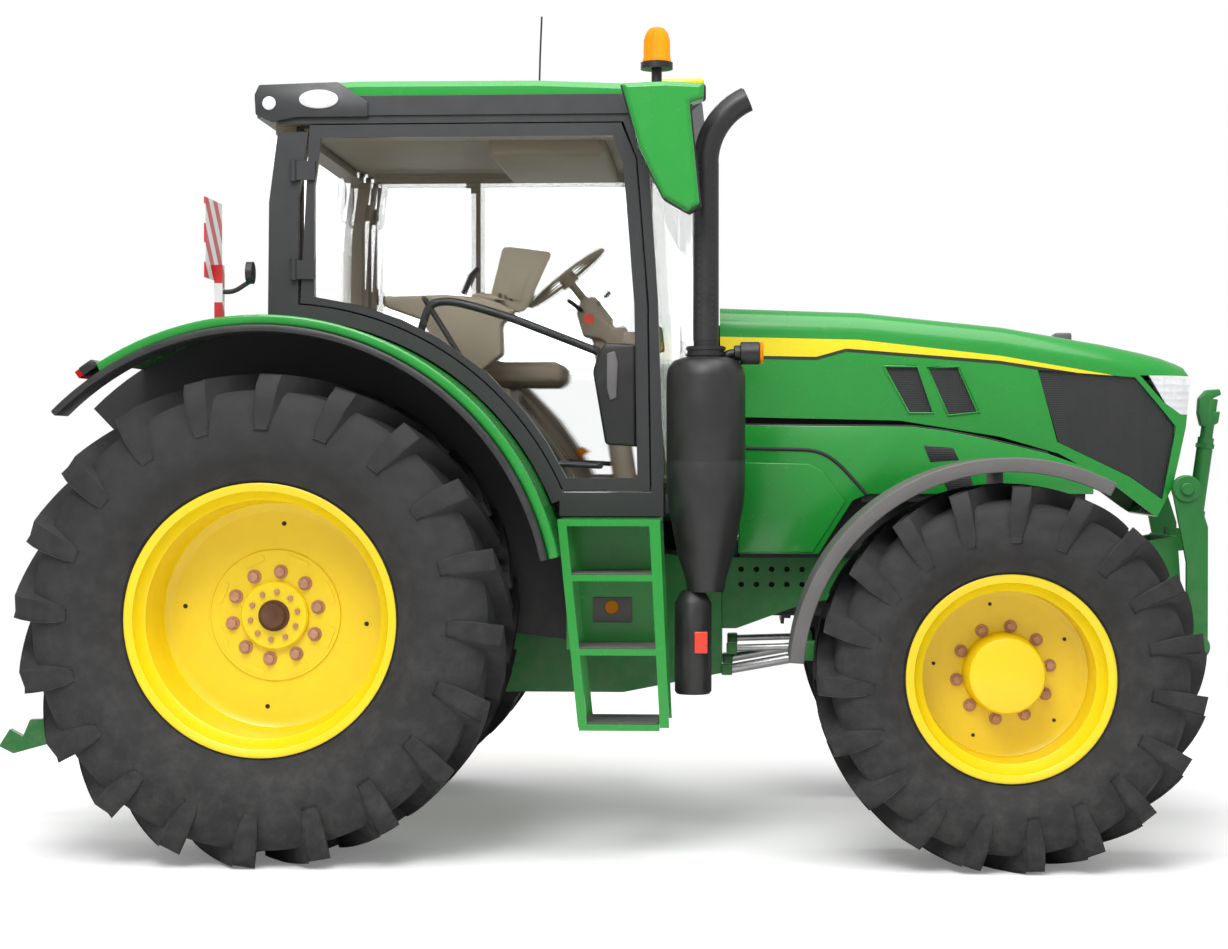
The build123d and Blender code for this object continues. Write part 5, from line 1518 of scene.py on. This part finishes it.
# %% Hook, sleeve and bosses
bm = bmesh.new()
plate(bm, [(3660, 1700), (3664, 1762), (3694, 1796), (3750, 1800), (3756, 1776), (3722, 1762),
           (3704, 1734), (3722, 1706), (3752, 1708), (3744, 1660), (3700, 1636),
           (3672, 1650)], -24, 24, 6, 3)
tube(bm, [(3652, 0, 1262), (3668, 0, 1382), (3686, 0, 1512), (3698, 0, 1600)], 33, 24)
for z, x in ((1290, 3656), (1566, 3693)):
    tube(bm, [(x - 1, 0, z - 9), (x + 1, 0, z + 9)], 40, 6)
piece(bm, "front_hook", "front_top_link_body", green_cast)
bm = bmesh.new()
for x, z, radius in ((3553, 1392, 0.056), (3597, 762, 0.050)):
    ring_at(bm, -0.352, -0.308, radius, 0, 36, 0.006, ((x / 1000) + SHIFT, z / 1000))
    ring_at(bm, -0.366, -0.350, radius * 0.45, 0, 24, 0.004, ((x / 1000) + SHIFT, z / 1000))
both_sides(bm)
piece(bm, "front_link_bosses", "front_links_body", green_cast)
bm = bmesh.new()
tube(bm, [(1722, -262, 656), (2052, -262, 716)], 20, 24)
tube(bm, [(1742, -258, 742), (2060, -258, 752)], 14, 24)
both_sides(bm)
piece(bm, "chromed_rods", "root", steel)
bm = bmesh.new()
for x, z in ((1722, 656), (2052, 716), (1742, 742), (2060, 752)):
    box(bm, (x - 22, -286, z - 22), (x + 22, -226, z + 22), 6)
both_sides(bm)
piece(bm, "rod_brackets", "root", green_cast)

# %% [markdown]
# ## Steps
#
# The treads are punched grey plate, an amber reflector marks the side, and a round
# mirror looks back from the far rear post.

# %% Step plates, reflector and round mirror
bm = bmesh.new()
for level, x0 in ((1085, 1130), (810, 1158), (531, 1186)):
    for strip in range(5):
        y = -1122 + strip * 62
        box(bm, (x0, y, level), (1470, y + 40, level + 5), 1)
both_sides(bm)
piece(bm, "tread_strips", "root", strip_grey)
bm = bmesh.new()
box(bm, (1212, -817, 886), (1362, -811, 982), 2)
both_sides(bm)
piece(bm, "step_reflector_plates", "root", strip_grey)
bm = bmesh.new()
ring_at(bm, -0.825, -0.8172, 0.026, 0, 28, 0.002, (1.285 + SHIFT, 0.944))
both_sides(bm)
piece(bm, "step_reflectors", "root", amber_lens)
bm = bmesh.new()
part = bmesh.new()
bmesh.ops.create_uvsphere(part, u_segments=40, v_segments=20, radius=0.094)
bmesh.ops.scale(part, vec=(0.16, 1, 1), verts=part.verts[:])
bmesh.ops.rotate(part, cent=(0, 0, 0), matrix=Matrix.Rotation(radians(22), 3, "Z"),
                 verts=part.verts[:])
bmesh.ops.translate(part, vec=place(-64, 905, 2731), verts=part.verts[:])
merge(bm, part)
tube(bm, rounded([(-64, 905, 2640), (-60, 900, 2600), (-20, 850, 2600)], 20), 7)
piece(bm, "round_mirror", "root", strip_grey)
# The headlights get the same light grey face, a painted reflection.
paint("headlights", lamp_reflection_grey)
print("steps and far mirror made")

# %% [markdown]
# ## Last parts
#
# Each front fender has a turned-down outer edge, which is what the camera sees of it.
# The rear lamps sit in black housings and face back, and a round lamp stands on an arm
# beside each warning board.

# %% Front fender edges
for side, name in ((-1, "right"), (1, "left")):
    bm = bmesh.new()
    edge = sector(756, 810, 62, 176, 3, (2765, 709))
    plate(bm, edge, side * 1160, side * 1178, 6, 3)
    piece(bm, f"front_fender_edge_{name}", f"steer_{name}_body", strip_grey)

# %% Rear lamps and board lamps
bm = bmesh.new()
plate(bm, sector(1121, 1156, 123, 126, 1), -1200, -1080, 5)
for x, z in ((-175, 2140), (-58, 2211)):
    tube(bm, [(x - 12, -1080, z), (x + 12, -1080, z)], 42 if x > -100 else 14, 24)
tube(bm, rounded([(-172, -1080, 2140), (-120, -1080, 2140), (-58, -1080, 2180)], 25), 9)
both_sides(bm)
piece(bm, "rear_lamp_housings", "root", black_plastic, replaces=["tail_lamps"])
bm = bmesh.new()
plate(bm, sector(1124, 1153, 126, 127, 1), -1196, -1084, 1)
both_sides(bm)
piece(bm, "rear_lamp_lenses", "root", red_lens)
print("last parts made")
